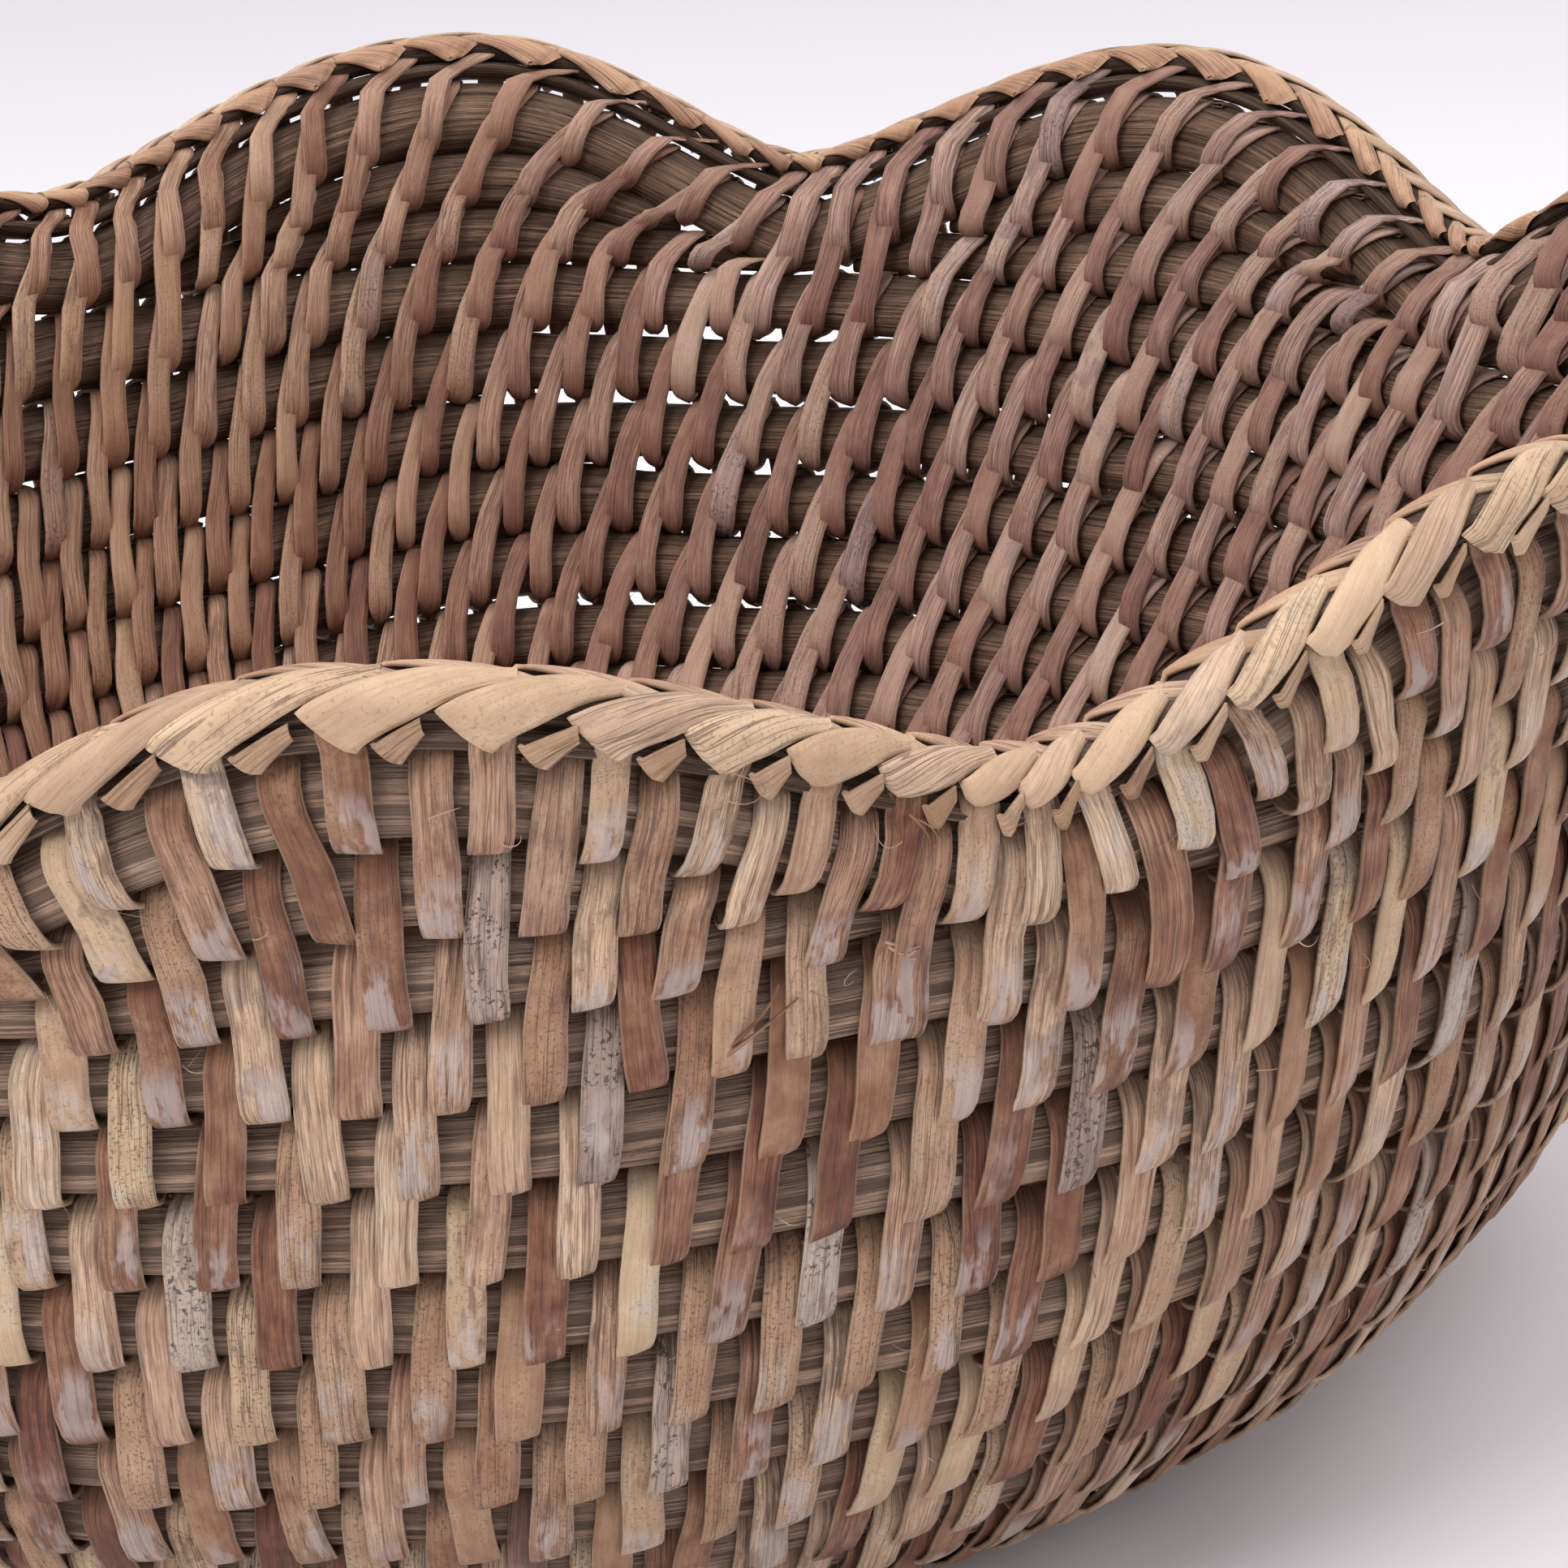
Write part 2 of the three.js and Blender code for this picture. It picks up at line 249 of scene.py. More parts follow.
# sample positions along the path: close together at the turns
_k = np.abs(np.gradient(np.unwrap(np.arctan2(np.gradient(P_COS * 4.3), np.gradient(P_SIG * PITCH)))))
_w = np.cumsum(0.35 * np.gradient(P_ELL) / P_ELL[-1] * len(P_ELL) / 10 + _k)
M_PATH = 36
ELL_SAMPLE = np.interp(np.linspace(_w[0], _w[-1], M_PATH), _w, P_ELL)

rng = np.random.default_rng(20)
LEAN = 0.62
XS = np.array([-1.0, -0.55, 0.0, 0.55, 1.0])


def stitches(phi0, b, A, width, loose, seed, h_low=0.62, h_up=0.30, tone=0.0, inner=True, diag=0.085, lean_extra=-0.12):
    """Strips that wrap two rows. phi0 (n): azimuth at the foot of the lobes. b: three functions of azimuth giving
    the top, middle and bottom edges in rows (each may depend on the stitch). A: (n, 2) half thickness across the wall (mm)."""
    n = len(phi0)
    g = np.random.default_rng(seed)
    L = ELL_SAMPLE[None, :, None]
    x = XS[None, None, :]
    lean_r = g.normal(0, 0.045, n)[:, None, None] + lean_extra
    rise = g.normal(0, 0.10, n)[:, None, None]
    wj = (width * np.clip(g.normal(1, 0.075, n), 0.82, 1.16))[:, None, None]
    Ls = np.broadcast_to(L, (n, M_PATH, len(XS)))
    sg = np.interp(Ls, P_ELL, P_SIG)
    c = np.interp(Ls, P_ELL, P_COS)
    outside = Ls < ELL_BOTTOM
    # the lower end is cut slantwise: one edge runs further down than the other
    low = smooth((sg - 1.15) / 0.75)
    dg = diag * (1 + 0.5 * g.normal(0, 1, n)[:, None, None] * 0.5)
    sg_d = sg - np.where(outside, 1.0, 1.0) * dg * x * low
    # azimuth along the path: nearly straight outside, one stitch forward inside
    f_in = np.clip(1 - 0.5 * sg, 0, 1)
    s_curve = 0.80 * f_in ** 2.0 + 0.20 * f_in
    dphi = TAU / 104
    adv = np.where(outside, 0.0, -s_curve)
    outlean = np.where(outside, lean_r * (sg - 1), lean_r * (sg - 1))
    base = phi0[:, None, None] + dphi * (adv + outlean)
    # rows lean with the lobes
    o, od = lift(base), lift_slope(base)

    def fan(s):
        nu = np.clip(-s / np.maximum(o, 0.05), 0, 1)
        ext = np.maximum(0, -s - o)
        return -LEAN * (PITCH / 125.0) ** 2 * od * (0.5 * nu ** 2 * o + ext)

    phi = base
    for _ in range(2):
        t, m_, l_ = (f(phi) for f in b)
        s = np.where(sg_d < 1, t + (m_ - t) * sg_d, m_ + (l_ - m_) * (sg_d - 1))
        phi = base + fan(s)
    mix = smooth(sg - 0.5)
    Am = A[:, 0][:, None, None] * (1 - mix) + A[:, 1][:, None, None] * mix
    up = smooth((sg - 0.35) / 1.05)
    h = h_up + (h_low - h_up) * up
    h = h + rise * 0.5
    # taut between the two rows, so a little hollow there
    dip = -0.16 * np.exp(-((sg - 1) / 0.22) ** 2)
    roll = np.where(outside, -0.22 * up + 0.06 * (1 - up), 0.14)
    a = (Am + h + dip) * c + np.sign(c) * roll * x * np.abs(c)
    crown = 0.13 * (1 - x ** 2)
    a = a + np.sign(c) * crown * np.abs(c)
    # twisted narrower where it passes between the rows
    lo = loose[:, None, None]
    open_at = smooth((np.abs(c) - 0.18) / (0.22 + 0.5 * lo))
    wf = 1 - (0.42 + 0.18 * lo) * (1 - open_at)
    wf = wf * (1 - 0.16 * lo)
    # inside the strip runs aslant, so its azimuth width grows
    wf = wf * np.where(outside, 1.0, 1 + 0.12 * smooth(np.abs(c) / 0.5))
    r = radius(s) + U * oval_weight(s) * ring_value(OVAL_AT, OVAL, phi)
    tail = 0.28 * np.where(outside, smooth((sg - 1.60) / 0.42), smooth((sg - 1.80) / 0.24)) * (x > 0) * x
    wave = 0.10 * np.sin(Ls * 0.55 + g.uniform(0, 6.28, n)[:, None, None]) * (x > 0) - 0.10 * np.sin(Ls * 0.47 + g.uniform(0, 6.28, n)[:, None, None]) * (x < 0)
    hw = wj * wf / 2
    phi_x = phi + ((x - tail) * hw + wave * wf) / np.maximum(r, 6.0)
    top = wall(phi_x, s, a)
    full, nrm = thicken(top, 0.46)
    # rounded edges
    q = full.shape[2]
    V = full.reshape(-1, 3)
    sd = g.uniform(0, 100, n)
    r1, r2, r3 = g.uniform(0, 1, n), g.uniform(0, 1, n), g.uniform(0, 1, n)
    xq = np.concatenate([XS, XS[::-1]])
    ones = np.ones((n, M_PATH, q))
    uvw = np.stack([xq[None, None, :] * wj / 2 * ones, ELL_SAMPLE[None, :, None] * ones, sd[:, None, None] * ones], -1)
    rnd = np.stack([r1[:, None, None] * ones, r2[:, None, None] * ones, r3[:, None, None] * ones], -1)
    sgm = np.concatenate([sg, sg[:, :, ::-1]], 2)
    side = np.where(np.concatenate([outside, outside[:, :, ::-1]], 2), 1.0, -1.0)
    pos = np.stack([sgm, side, xq[None, None, :] * ones], -1)
    # painted light: stitches near azimuth 20 degrees get a cooler, bluer tint on their inside face
    off_ = np.degrees(np.abs((phi0 - math.radians(20) + math.pi) % TAU - math.pi))
    cool_light_side = smooth((105 - off_) / 60)[:, None, None]
    extra = np.stack([np.broadcast_to(np.asarray(tone, float).reshape(-1, 1, 1), (n, 1, 1)) * ones, cool_light_side * ones, 0 * ones], -1)
    return V, strip_faces(n, M_PATH, q), {"uvw": uvw.reshape(-1, 3), "rnd": rnd.reshape(-1, 3), "pos": pos.reshape(-1, 3), "extra": extra.reshape(-1, 3)}


def join(parts):
    V, F, A, off = [], [], {}, 0
    for v, f, at in parts:
        V.append(v)
        F.append(f + off)
        off += len(v)
        for k, w in at.items():
            A.setdefault(k, []).append(w)
    return np.concatenate(V), np.concatenate(F), {k: np.concatenate(w) for k, w in A.items()}


# ------------------------------------------------------------------ core canes
def cane(phi, top, bottom, out, gap, seed, tone=0.0, q=30, flat=0.0, taper=True, nseg=None):
    """One length of core between two row edges. phi (m): azimuths. out (m): half thickness across the wall."""
    g = np.random.default_rng(seed)
    m = len(phi)
    t = np.linspace(0, TAU, q, endpoint=False)[None, :]
    n = 2.35
    ct, st = np.cos(t), np.sin(t)
    cx = np.sign(ct) * np.abs(ct) ** (2 / n)
    sx = np.sign(st) * np.abs(st) ** (2 / n)
    along = np.maximum(0.25, ((bottom - top) * PITCH - gap) / 2)[:, None]
    P = phi[:, None]
    dist = np.cumsum(np.concatenate([[0], np.abs(np.diff(phi))])) * float(np.mean(radius((top + bottom) / 2)))
    rid = np.zeros((m, q))
    for kk, amp in ((3, 0.09), (5, 0.08), (8, 0.085), (11, 0.08), (13, 0.06)):
        rid += amp * np.sin(kk * t + g.uniform(0, 6.28) + 1.7 * np.sin(dist[:, None] * g.uniform(0.02, 0.05) + g.uniform(0, 6.28)))
    rid *= np.minimum(1, along / 3)
    s = ((top + bottom) / 2)[:, None] + sx * (along + rid) / PITCH
    a = cx * (out[:, None] + rid)
    if flat:
        a = np.clip(a, -flat, flat)
    V = wall(np.broadcast_to(P, s.shape), s, a).reshape(-1, 3)
    F = strip_faces(1, m, q)
    # end caps as fans of quads
    caps = []
    for base, rev in ((0, False), ((m - 1) * q, True)):
        for i in range(q // 2 - 1):
            quad = [base + i, base + i + 1, base + q - 2 - i, base + q - 1 - i]
            caps.append(quad if rev else quad[::-1])
    F = np.concatenate([F[:, ::-1] if False else F, np.array(caps)])
    around = np.broadcast_to(t * float(np.mean(along)), (m, q))
    along_mm = np.broadcast_to(dist[:, None], (m, q))
    sd = g.uniform(0, 50)
    uvw = np.stack([around, along_mm, np.full((m, q), sd)], -1).reshape(-1, 3)
    pos = np.stack([np.broadcast_to(sx, (m, q)), np.broadcast_to(cx, (m, q)), np.full((m, q), tone)], -1).reshape(-1, 3)
    return V, F, {"uvw": uvw, "pos": pos}


# ------------------------------------------------------------------ node materials
def tree(name):
    m = bpy.data.materials.new(name)
    m.use_nodes = True
    nt = m.node_tree
    nt.nodes.clear()
    out = nt.nodes.new("ShaderNodeOutputMaterial")
    bs = nt.nodes.new("ShaderNodeBsdfPrincipled")
    nt.links.new(bs.outputs["BSDF"], out.inputs["Surface"])
    return m, nt, bs


class N:
    """Small helper to wire shader nodes."""

    def __init__(self, nt):
        self.nt = nt

    def put(self, sock, val):
        if isinstance(val, bpy.types.NodeSocket):
            self.nt.links.new(val, sock)
        elif isinstance(val, (tuple, list)) and len(val) == 3 and sock.type == "RGBA":
            sock.default_value = (*val, 1.0)
        else:
            sock.default_value = val

    def attr(self, name):
        n = self.nt.nodes.new("ShaderNodeAttribute")
        n.attribute_name = name
        return n.outputs["Vector"]

    def sep(self, v):
        n = self.nt.nodes.new("ShaderNodeSeparateXYZ")
        self.put(n.inputs[0], v)
        return n.outputs[0], n.outputs[1], n.outputs[2]

    def comb(self, x, y, z):
        n = self.nt.nodes.new("ShaderNodeCombineXYZ")
        for i, v in enumerate((x, y, z)):
            self.put(n.inputs[i], v)
        return n.outputs[0]

    def m(self, op, a, b=0.0, c=None, clamp=False):
        n = self.nt.nodes.new("ShaderNodeMath")
        n.operation = op
        n.use_clamp = clamp
        self.put(n.inputs[0], a)
        if len(n.inputs) > 1:
            self.put(n.inputs[1], b)
        if c is not None:
            self.put(n.inputs[2], c)
        return n.outputs[0]

    def noise(self, v, scale=1.0, detail=3.0, rough=0.55, dist=0.0):
        n = self.nt.nodes.new("ShaderNodeTexNoise")
        self.put(n.inputs["Vector"], v)
        n.inputs["Scale"].default_value = scale
        n.inputs["Detail"].default_value = detail
        n.inputs["Roughness"].default_value = rough
        n.inputs["Distortion"].default_value = dist
        return n.outputs["Fac"]

    def ramp(self, fac, stops, interp="LINEAR"):
        n = self.nt.nodes.new("ShaderNodeValToRGB")
        n.color_ramp.interpolation = interp
        els = n.color_ramp.elements
        els[0].position, els[1].position = stops[0][0], stops[-1][0]
        for p, _ in stops[1:-1]:
            els.new(p)
        for e, (p, col) in zip(sorted(els, key=lambda e: e.position), stops):
            e.color = (*col, 1.0) if len(col) == 3 else col
        self.put(n.inputs[0], fac)
        return n.outputs["Color"]

    def mix(self, fac, a, b, mode="MIX"):
        n = self.nt.nodes.new("ShaderNodeMix")
        n.data_type = "RGBA"
        n.blend_type = mode
        n.clamp_result = False
        self.put(n.inputs[0], fac)
        self.put(n.inputs[6], a)
        self.put(n.inputs[7], b)
        return n.outputs[2]

    def band(self, v, lo, hi):
        """0 below lo, 1 above hi."""
        n = self.nt.nodes.new("ShaderNodeMapRange")
        n.interpolation_type = "SMOOTHSTEP"
        self.put(n.inputs["Value"], v)
        n.inputs["From Min"].default_value = lo
        n.inputs["From Max"].default_value = hi
        return n.outputs["Result"]

    def bump(self, h, strength, dist, normal=None):
        n = self.nt.nodes.new("ShaderNodeBump")
        n.inputs["Strength"].default_value = strength
        n.inputs["Distance"].default_value = dist
        self.put(n.inputs["Height"], h)
        if normal is not None:
            self.put(n.inputs["Normal"], normal)
        return n.outputs["Normal"]


def peel_material(name, stops, inside_light_tint, mould_and_sheen=1.0, dark=1.0, gain=1.0, line=1.0, spread=0.78):
    m, nt, bs = tree(name)
    k = N(nt)
    x, y, sd = k.sep(k.attr("uvw"))
    r1, r2, r3 = k.sep(k.attr("rnd"))
    sg, side, xn = k.sep(k.attr("pos"))
    tone, cool_light_side, _ = k.sep(k.attr("extra"))
    # each strip shows either its smooth skin side or its fibrous side
    kind = k.m("FRACT", k.m("ADD", k.m("MULTIPLY", r1, 7.31), k.m("MULTIPLY", r2, 3.77)))
    fib = k.band(kind, 0.30, 0.60)
    plain = k.m("SUBTRACT", 1.0, fib)
    fine = k.noise(k.comb(k.m("MULTIPLY", x, 6.5), k.m("MULTIPLY", y, 0.22), k.m("MULTIPLY", sd, 3.1)), 1.0, 4.0, 0.62)
    broad = k.noise(k.comb(k.m("MULTIPLY", x, 2.9), k.m("MULTIPLY", y, 0.06), k.m("MULTIPLY", sd, 1.7)), 1.0, 2.0)
    blot = k.noise(k.comb(k.m("MULTIPLY", x, 0.35), k.m("MULTIPLY", y, 0.22), sd), 1.0, 3.0, 0.6)
    grain = k.noise(k.comb(k.m("MULTIPLY", x, 3.6), k.m("MULTIPLY", y, 3.2), sd), 1.0, 2.5, 0.6)
    crackn = k.noise(k.comb(k.m("MULTIPLY", x, 2.3), k.m("MULTIPLY", y, 0.045), k.m("ADD", sd, 31.0)), 1.0, 1.5)
    crack = k.m("SUBTRACT", 1.0, k.band(k.m("ABSOLUTE", k.m("SUBTRACT", crackn, 0.5)), 0.004, 0.020))
    crack = k.m("MULTIPLY", crack, k.band(r3, 0.30, 0.7))
    pick = k.m("ADD", k.m("MULTIPLY", r1, spread), k.m("MULTIPLY", k.m("SUBTRACT", blot, 0.5), 0.75))
    pick = k.m("ADD", pick, tone, clamp=False)
    pick = k.m("ADD", pick, 0.11 + 0.45 * (0.78 - spread))
    col = k.ramp(pick, stops)
    # fibre lines
    lines = k.m("ADD", 0.58, k.m("MULTIPLY", fine, 0.84))
    amount = k.m("MULTIPLY", line, k.m("ADD", 0.30, k.m("MULTIPLY", fib, 0.70)))
    col = k.mix(amount, col, k.mix(1.0, col, k.ramp(lines, [(0.80, (0.42, 0.34, 0.29)), (0.92, (0.84, 0.80, 0.77)), (1.02, (1.07, 1.06, 1.05)), (1.18, (1.26, 1.24, 1.21))]), "MULTIPLY"))
    lines2 = k.ramp(broad, [(0.30, (0.46, 0.38, 0.33)), (0.44, (0.92, 0.90, 0.88)), (0.58, (1.08, 1.07, 1.06)), (0.72, (1.34, 1.31, 1.26))])
    amount = k.m("MULTIPLY", 0.95 * line, k.m("ADD", 0.22, k.m("MULTIPLY", fib, 0.78)))
    col = k.mix(amount, col, k.mix(1.0, col, lines2, "MULTIPLY"))
    # the skin side is more ochre, the fibrous side more rosy
    col = k.mix(1.0, col, k.mix(fib, (1.04, 1.0, 0.90), (1.0, 0.965, 0.955)), "MULTIPLY")
    dots = k.noise(k.comb(k.m("MULTIPLY", x, 3.6), k.m("MULTIPLY", y, 3.3), k.m("ADD", sd, 13.0)), 1.0, 1.5, 0.5)
    dots = k.m("MULTIPLY", k.m("MULTIPLY", k.band(dots, 0.575, 0.645), plain), k.band(k.m("ADD", r3, k.m("MULTIPLY", blot, 0.8)), 0.45, 0.95))
    col = k.mix(k.m("MULTIPLY", dots, 0.66 * dark), col, (0.11, 0.058, 0.040))
    # specks and small dark stains
    sp = k.band(grain, 0.62, 0.68)
    sp = k.m("MULTIPLY", sp, k.band(k.m("ADD", r2, k.m("MULTIPLY", blot, 0.8)), 0.50, 1.15))
    col = k.mix(k.m("MULTIPLY", sp, 0.62 * dark), col, (0.085, 0.055, 0.045))
    # mould on a few strips: black dots on greyed peel
    mo = k.band(r3, 0.955, 0.965)
    col = k.mix(k.m("MULTIPLY", mo, 0.42 * mould_and_sheen), col, (0.36, 0.325, 0.295))
    mould = k.m("MULTIPLY", mo, k.band(k.noise(k.comb(k.m("MULTIPLY", x, 2.4), k.m("MULTIPLY", y, 2.1), sd), 1.0, 2.5, 0.6), 0.54, 0.60))
    mould = k.m("MULTIPLY", mould, k.band(k.noise(k.comb(k.m("MULTIPLY", x, 0.4), k.m("MULTIPLY", y, 0.30), k.m("ADD", sd, 3.0)), 1.0, 2.0), 0.42, 0.56))
    col = k.mix(k.m("MULTIPLY", mould, 0.86 * mould_and_sheen), col, (0.040, 0.032, 0.036))
    run = k.noise(k.comb(k.m("MULTIPLY", x, 1.1), k.m("MULTIPLY", y, 0.16), k.m("ADD", sd, 57.0)), 1.0, 4.0, 0.65)
    streak = k.m("MULTIPLY", k.band(run, 0.53, 0.66), k.band(k.m("ADD", r3, r2), 0.5, 1.3))
    col = k.mix(k.m("MULTIPLY", streak, 0.62 * dark), col, (0.125, 0.066, 0.042))
    light = k.m("MULTIPLY", k.band(run, 0.36, 0.26), k.band(r1, 0.3, 0.8))
    col = k.mix(k.m("MULTIPLY", light, 0.30), col, (0.58, 0.46, 0.33))
    stain = k.m("MULTIPLY", k.band(k.m("MULTIPLY", r2, r1), 0.40, 0.7), k.band(blot, 0.50, 0.62))
    col = k.mix(k.m("MULTIPLY", stain, 0.55 * dark), col, (0.135, 0.070, 0.042))
    col = k.mix(k.m("MULTIPLY", crack, 0.60), col, (0.10, 0.06, 0.045))
    # painted highlight: a pale lilac-grey sheen patch towards the lower end, where the strip bends over the core
    shift = k.m("MULTIPLY", r3, 0.55)
    sheen_mask = k.m("MULTIPLY", k.band(k.m("ADD", sg, shift), 1.20, 1.62), k.m("SUBTRACT", 1.0, k.band(k.m("ADD", sg, k.m("MULTIPLY", shift, 0.6)), 1.84, 2.12)))
    sheen_noise = k.noise(k.comb(k.m("MULTIPLY", x, 0.50), k.m("MULTIPLY", y, 0.16), k.m("ADD", sd, 7.0)), 1.0, 3.0, 0.6)
    sheen_mask = k.m("MULTIPLY", sheen_mask, k.band(k.m("SUBTRACT", sheen_noise, k.m("MULTIPLY", k.m("ABSOLUTE", xn), 0.10)), 0.40, 0.50))
    sheen_mask = k.m("MULTIPLY", sheen_mask, k.band(k.m("ADD", r2, k.m("MULTIPLY", blot, 0.5)), 0.56, 0.92))
    sheen_mask = k.m("MULTIPLY", sheen_mask, k.band(side, 0.0, 0.1))
    col = k.mix(k.m("MULTIPLY", sheen_mask, 0.52 * mould_and_sheen), col, (0.48, 0.415, 0.385))
    # cut edges
    edge = k.band(k.m("ABSOLUTE", xn), 0.86, 0.99)
    col = k.mix(k.m("MULTIPLY", edge, 0.28), col, (0.50, 0.37, 0.25))
    # the inside face is mixed towards a brown ramp and multiplied by a painted-light tint: on the stitches it lightens
    # and greys the inner face for the light and highlights on the inner wall, bluer on the side near azimuth 20
    # degrees; on the border it turns the inward-facing leaves browner, as painted shade inside the rim
    inn = k.m("SUBTRACT", 1.0, k.band(side, -0.05, 0.05))
    even = k.mix(0.42, col, k.ramp(fine, [(0.3, (0.17, 0.098, 0.068)), (0.7, (0.37, 0.235, 0.165))]))
    col = k.mix(inn, col, k.mix(1.0, even, k.mix(cool_light_side, inside_light_tint[0], inside_light_tint[1]), "MULTIPLY"))
    if gain != 1.0:
        col = k.mix(1.0, col, (gain, gain, gain), "MULTIPLY")
    k.put(bs.inputs["Base Color"], col)
    k.put(bs.inputs["Roughness"], k.m("ADD", 0.50, k.m("MULTIPLY", fine, 0.26)))
    bs.inputs["Specular IOR Level"].default_value = 0.32
    hgt = k.m("ADD", k.m("MULTIPLY", fine, 1.0), k.m("MULTIPLY", broad, 0.9))
    hgt = k.m("MULTIPLY", hgt, k.m("ADD", 0.35, k.m("MULTIPLY", fib, 0.75)))
    hgt = k.m("SUBTRACT", hgt, k.m("MULTIPLY", crack, 0.8))
    hgt = k.m("ADD", hgt, k.m("MULTIPLY", grain, 0.25))
    k.put(bs.inputs["Normal"], k.bump(hgt, 0.75, 0.00028))
    return m


def core_material(name, stops, gain=1.0):
    m, nt, bs = tree(name)
    k = N(nt)
    ar, al, sd = k.sep(k.attr("uvw"))
    sx, cx, tone = k.sep(k.attr("pos"))
    a1 = k.noise(k.comb(k.m("MULTIPLY", ar, 1.9), k.m("MULTIPLY", al, 0.045), sd), 1.0, 5.0, 0.68)
    a2 = k.noise(k.comb(k.m("MULTIPLY", ar, 4.2), k.m("MULTIPLY", al, 0.07), k.m("ADD", sd, 9.0)), 1.0, 4.0, 0.65)
    a3 = k.noise(k.comb(k.m("MULTIPLY", ar, 0.25), k.m("MULTIPLY", al, 0.030), k.m("ADD", sd, 21.0)), 1.0, 3.0, 0.6)
    sp = k.noise(k.comb(k.m("MULTIPLY", ar, 2.4), k.m("MULTIPLY", al, 0.7), k.m("ADD", sd, 4.0)), 1.0, 4.0, 0.7)
    pick = k.m("ADD", k.m("MULTIPLY", a1, 0.75), k.m("MULTIPLY", k.m("SUBTRACT", a3, 0.5), 0.7))
    pick = k.m("ADD", pick, k.m("ADD", tone, 0.10))
    col = k.ramp(pick, stops)
    col = k.mix(1.0, col, k.ramp(a2, [(0.34, (0.26, 0.20, 0.17)), (0.45, (0.70, 0.66, 0.63)), (0.54, (1.05, 1.03, 1.02)), (0.68, (1.52, 1.47, 1.40))]), "MULTIPLY")
    col = k.mix(k.m("MULTIPLY", k.band(sp, 0.60, 0.72), 0.5), col, (0.075, 0.05, 0.04))
    # painted shade: the side of each core towards the row above (sx < 0) is darkened, as if shaded by that row
    col = k.mix(k.m("MULTIPLY", k.band(k.m("MULTIPLY", sx, -1.0), 0.05, 0.95), 0.35), col, (0.12, 0.08, 0.06))
    # painted shade: the inward face of the core (cx < 0) is multiplied darker, for the shade inside the basket
    col = k.mix(k.m("SUBTRACT", 1.0, k.band(cx, -0.55, 0.15)), col, k.mix(1.0, col, (0.52, 0.47, 0.44), "MULTIPLY"))
    if gain != 1.0:
        col = k.mix(1.0, col, (gain, gain, gain), "MULTIPLY")
    k.put(bs.inputs["Base Color"], col)
    k.put(bs.inputs["Roughness"], k.m("ADD", 0.62, k.m("MULTIPLY", a2, 0.24)))
    bs.inputs["Specular IOR Level"].default_value = 0.22
    hgt = k.m("ADD", k.m("MULTIPLY", a1, 1.4), a2)
    k.put(bs.inputs["Normal"], k.bump(hgt, 1.0, 0.0008))
    return m


STRAW = [(0.0, (0.110, 0.043, 0.025)), (0.15, (0.180, 0.084, 0.049)), (0.32, (0.262, 0.154, 0.099)), (0.48, (0.330, 0.217, 0.148)), (0.62, (0.380, 0.270, 0.192)), (0.78, (0.432, 0.325, 0.226)), (0.90, (0.465, 0.375, 0.285)), (1.0, (0.44, 0.385, 0.345))]
PALE = [(0.0, (0.35, 0.228, 0.150)), (0.3, (0.52, 0.366, 0.252)), (0.55, (0.65, 0.482, 0.342)), (0.8, (0.74, 0.58, 0.435)), (1.0, (0.71, 0.60, 0.485))]
CORE = [(0.0, (0.110, 0.062, 0.042)), (0.30, (0.245, 0.152, 0.104)), (0.50, (0.375, 0.252, 0.176)), (0.68, (0.495, 0.352, 0.250)), (1.0, (0.62, 0.48, 0.37))]
MAT_PEEL = peel_material("split_peel", STRAW, ((1.15, 1.03, 0.98), (1.13, 1.11, 1.28)))
MAT_PALE = peel_material("border_peel", PALE, ((1.25, 1.10, 1.02), (1.25, 1.10, 1.02)), mould_and_sheen=0.0, dark=0.45, line=0.5, gain=0.76, spread=0.38)
# painted shade: the tuck peel gets a darker ramp than the border peel, for the shade under the leaves
MAT_TUCK_SHADED = peel_material("border_tuck_peel_shaded", [(0.0, (0.20, 0.110, 0.062)), (0.5, (0.37, 0.245, 0.150)), (1.0, (0.50, 0.365, 0.245))], ((0.74, 0.66, 0.60), (0.74, 0.66, 0.60)), mould_and_sheen=0.0, dark=0.7, line=0.6, spread=0.7)
MAT_CORE = core_material("core_cane", CORE)
MAT_RIMCORE = core_material("rim_core_cane", [(0.0, (0.05, 0.032, 0.024)), (0.4, (0.13, 0.085, 0.060)), (0.65, (0.24, 0.165, 0.115)), (1.0, (0.34, 0.25, 0.18))])

def above_floor(v):
    """Press what would go under the standing plane softly flat on it."""
    v = v.copy()
    z = v[:, 2]
    v[:, 2] = np.where(z < 0.5, 0.5 * np.exp((np.minimum(z, 0.5) - 0.5) / 0.5), z)
    return v


# ------------------------------------------------------------------ core rows
SEG = 380
GAP = 1.05


def window(phi, lo, hi):
    d = np.degrees(phi) % 360
    return smooth((d - lo) / 4 + 0.5) * smooth((hi - d) / 4 + 0.5)


# where the lacing lets light through between two rows: (row edge, from, to, how wide in mm)
OPEN_AT = [(0, 76, 91, 0.9), (0, 113, 121, 1.2), (1, 74, 94, 1.5), (1, 117, 127, 0.8), (2, 53, 97, 1.8), (3, 43, 89, 1.9),
           (3, 111, 124, 1.1), (4, 56, 85, 0.8), (5, 65, 113, 1.5), (6, 58, 70, 0.9), (2, 127, 134, 0.9)]


def half_gap(phi, edge_no):
    """Half the gap at one row edge (mm)."""
    far = looseness(phi, np.minimum(edge_no, 5.0) + 0 * phi)
    g = GAP - 0.80 * far
    for e_, lo, hi, wide in OPEN_AT:
        if e_ == edge_no:
            g = g + wide * window(phi, lo, hi)
    return g / 2


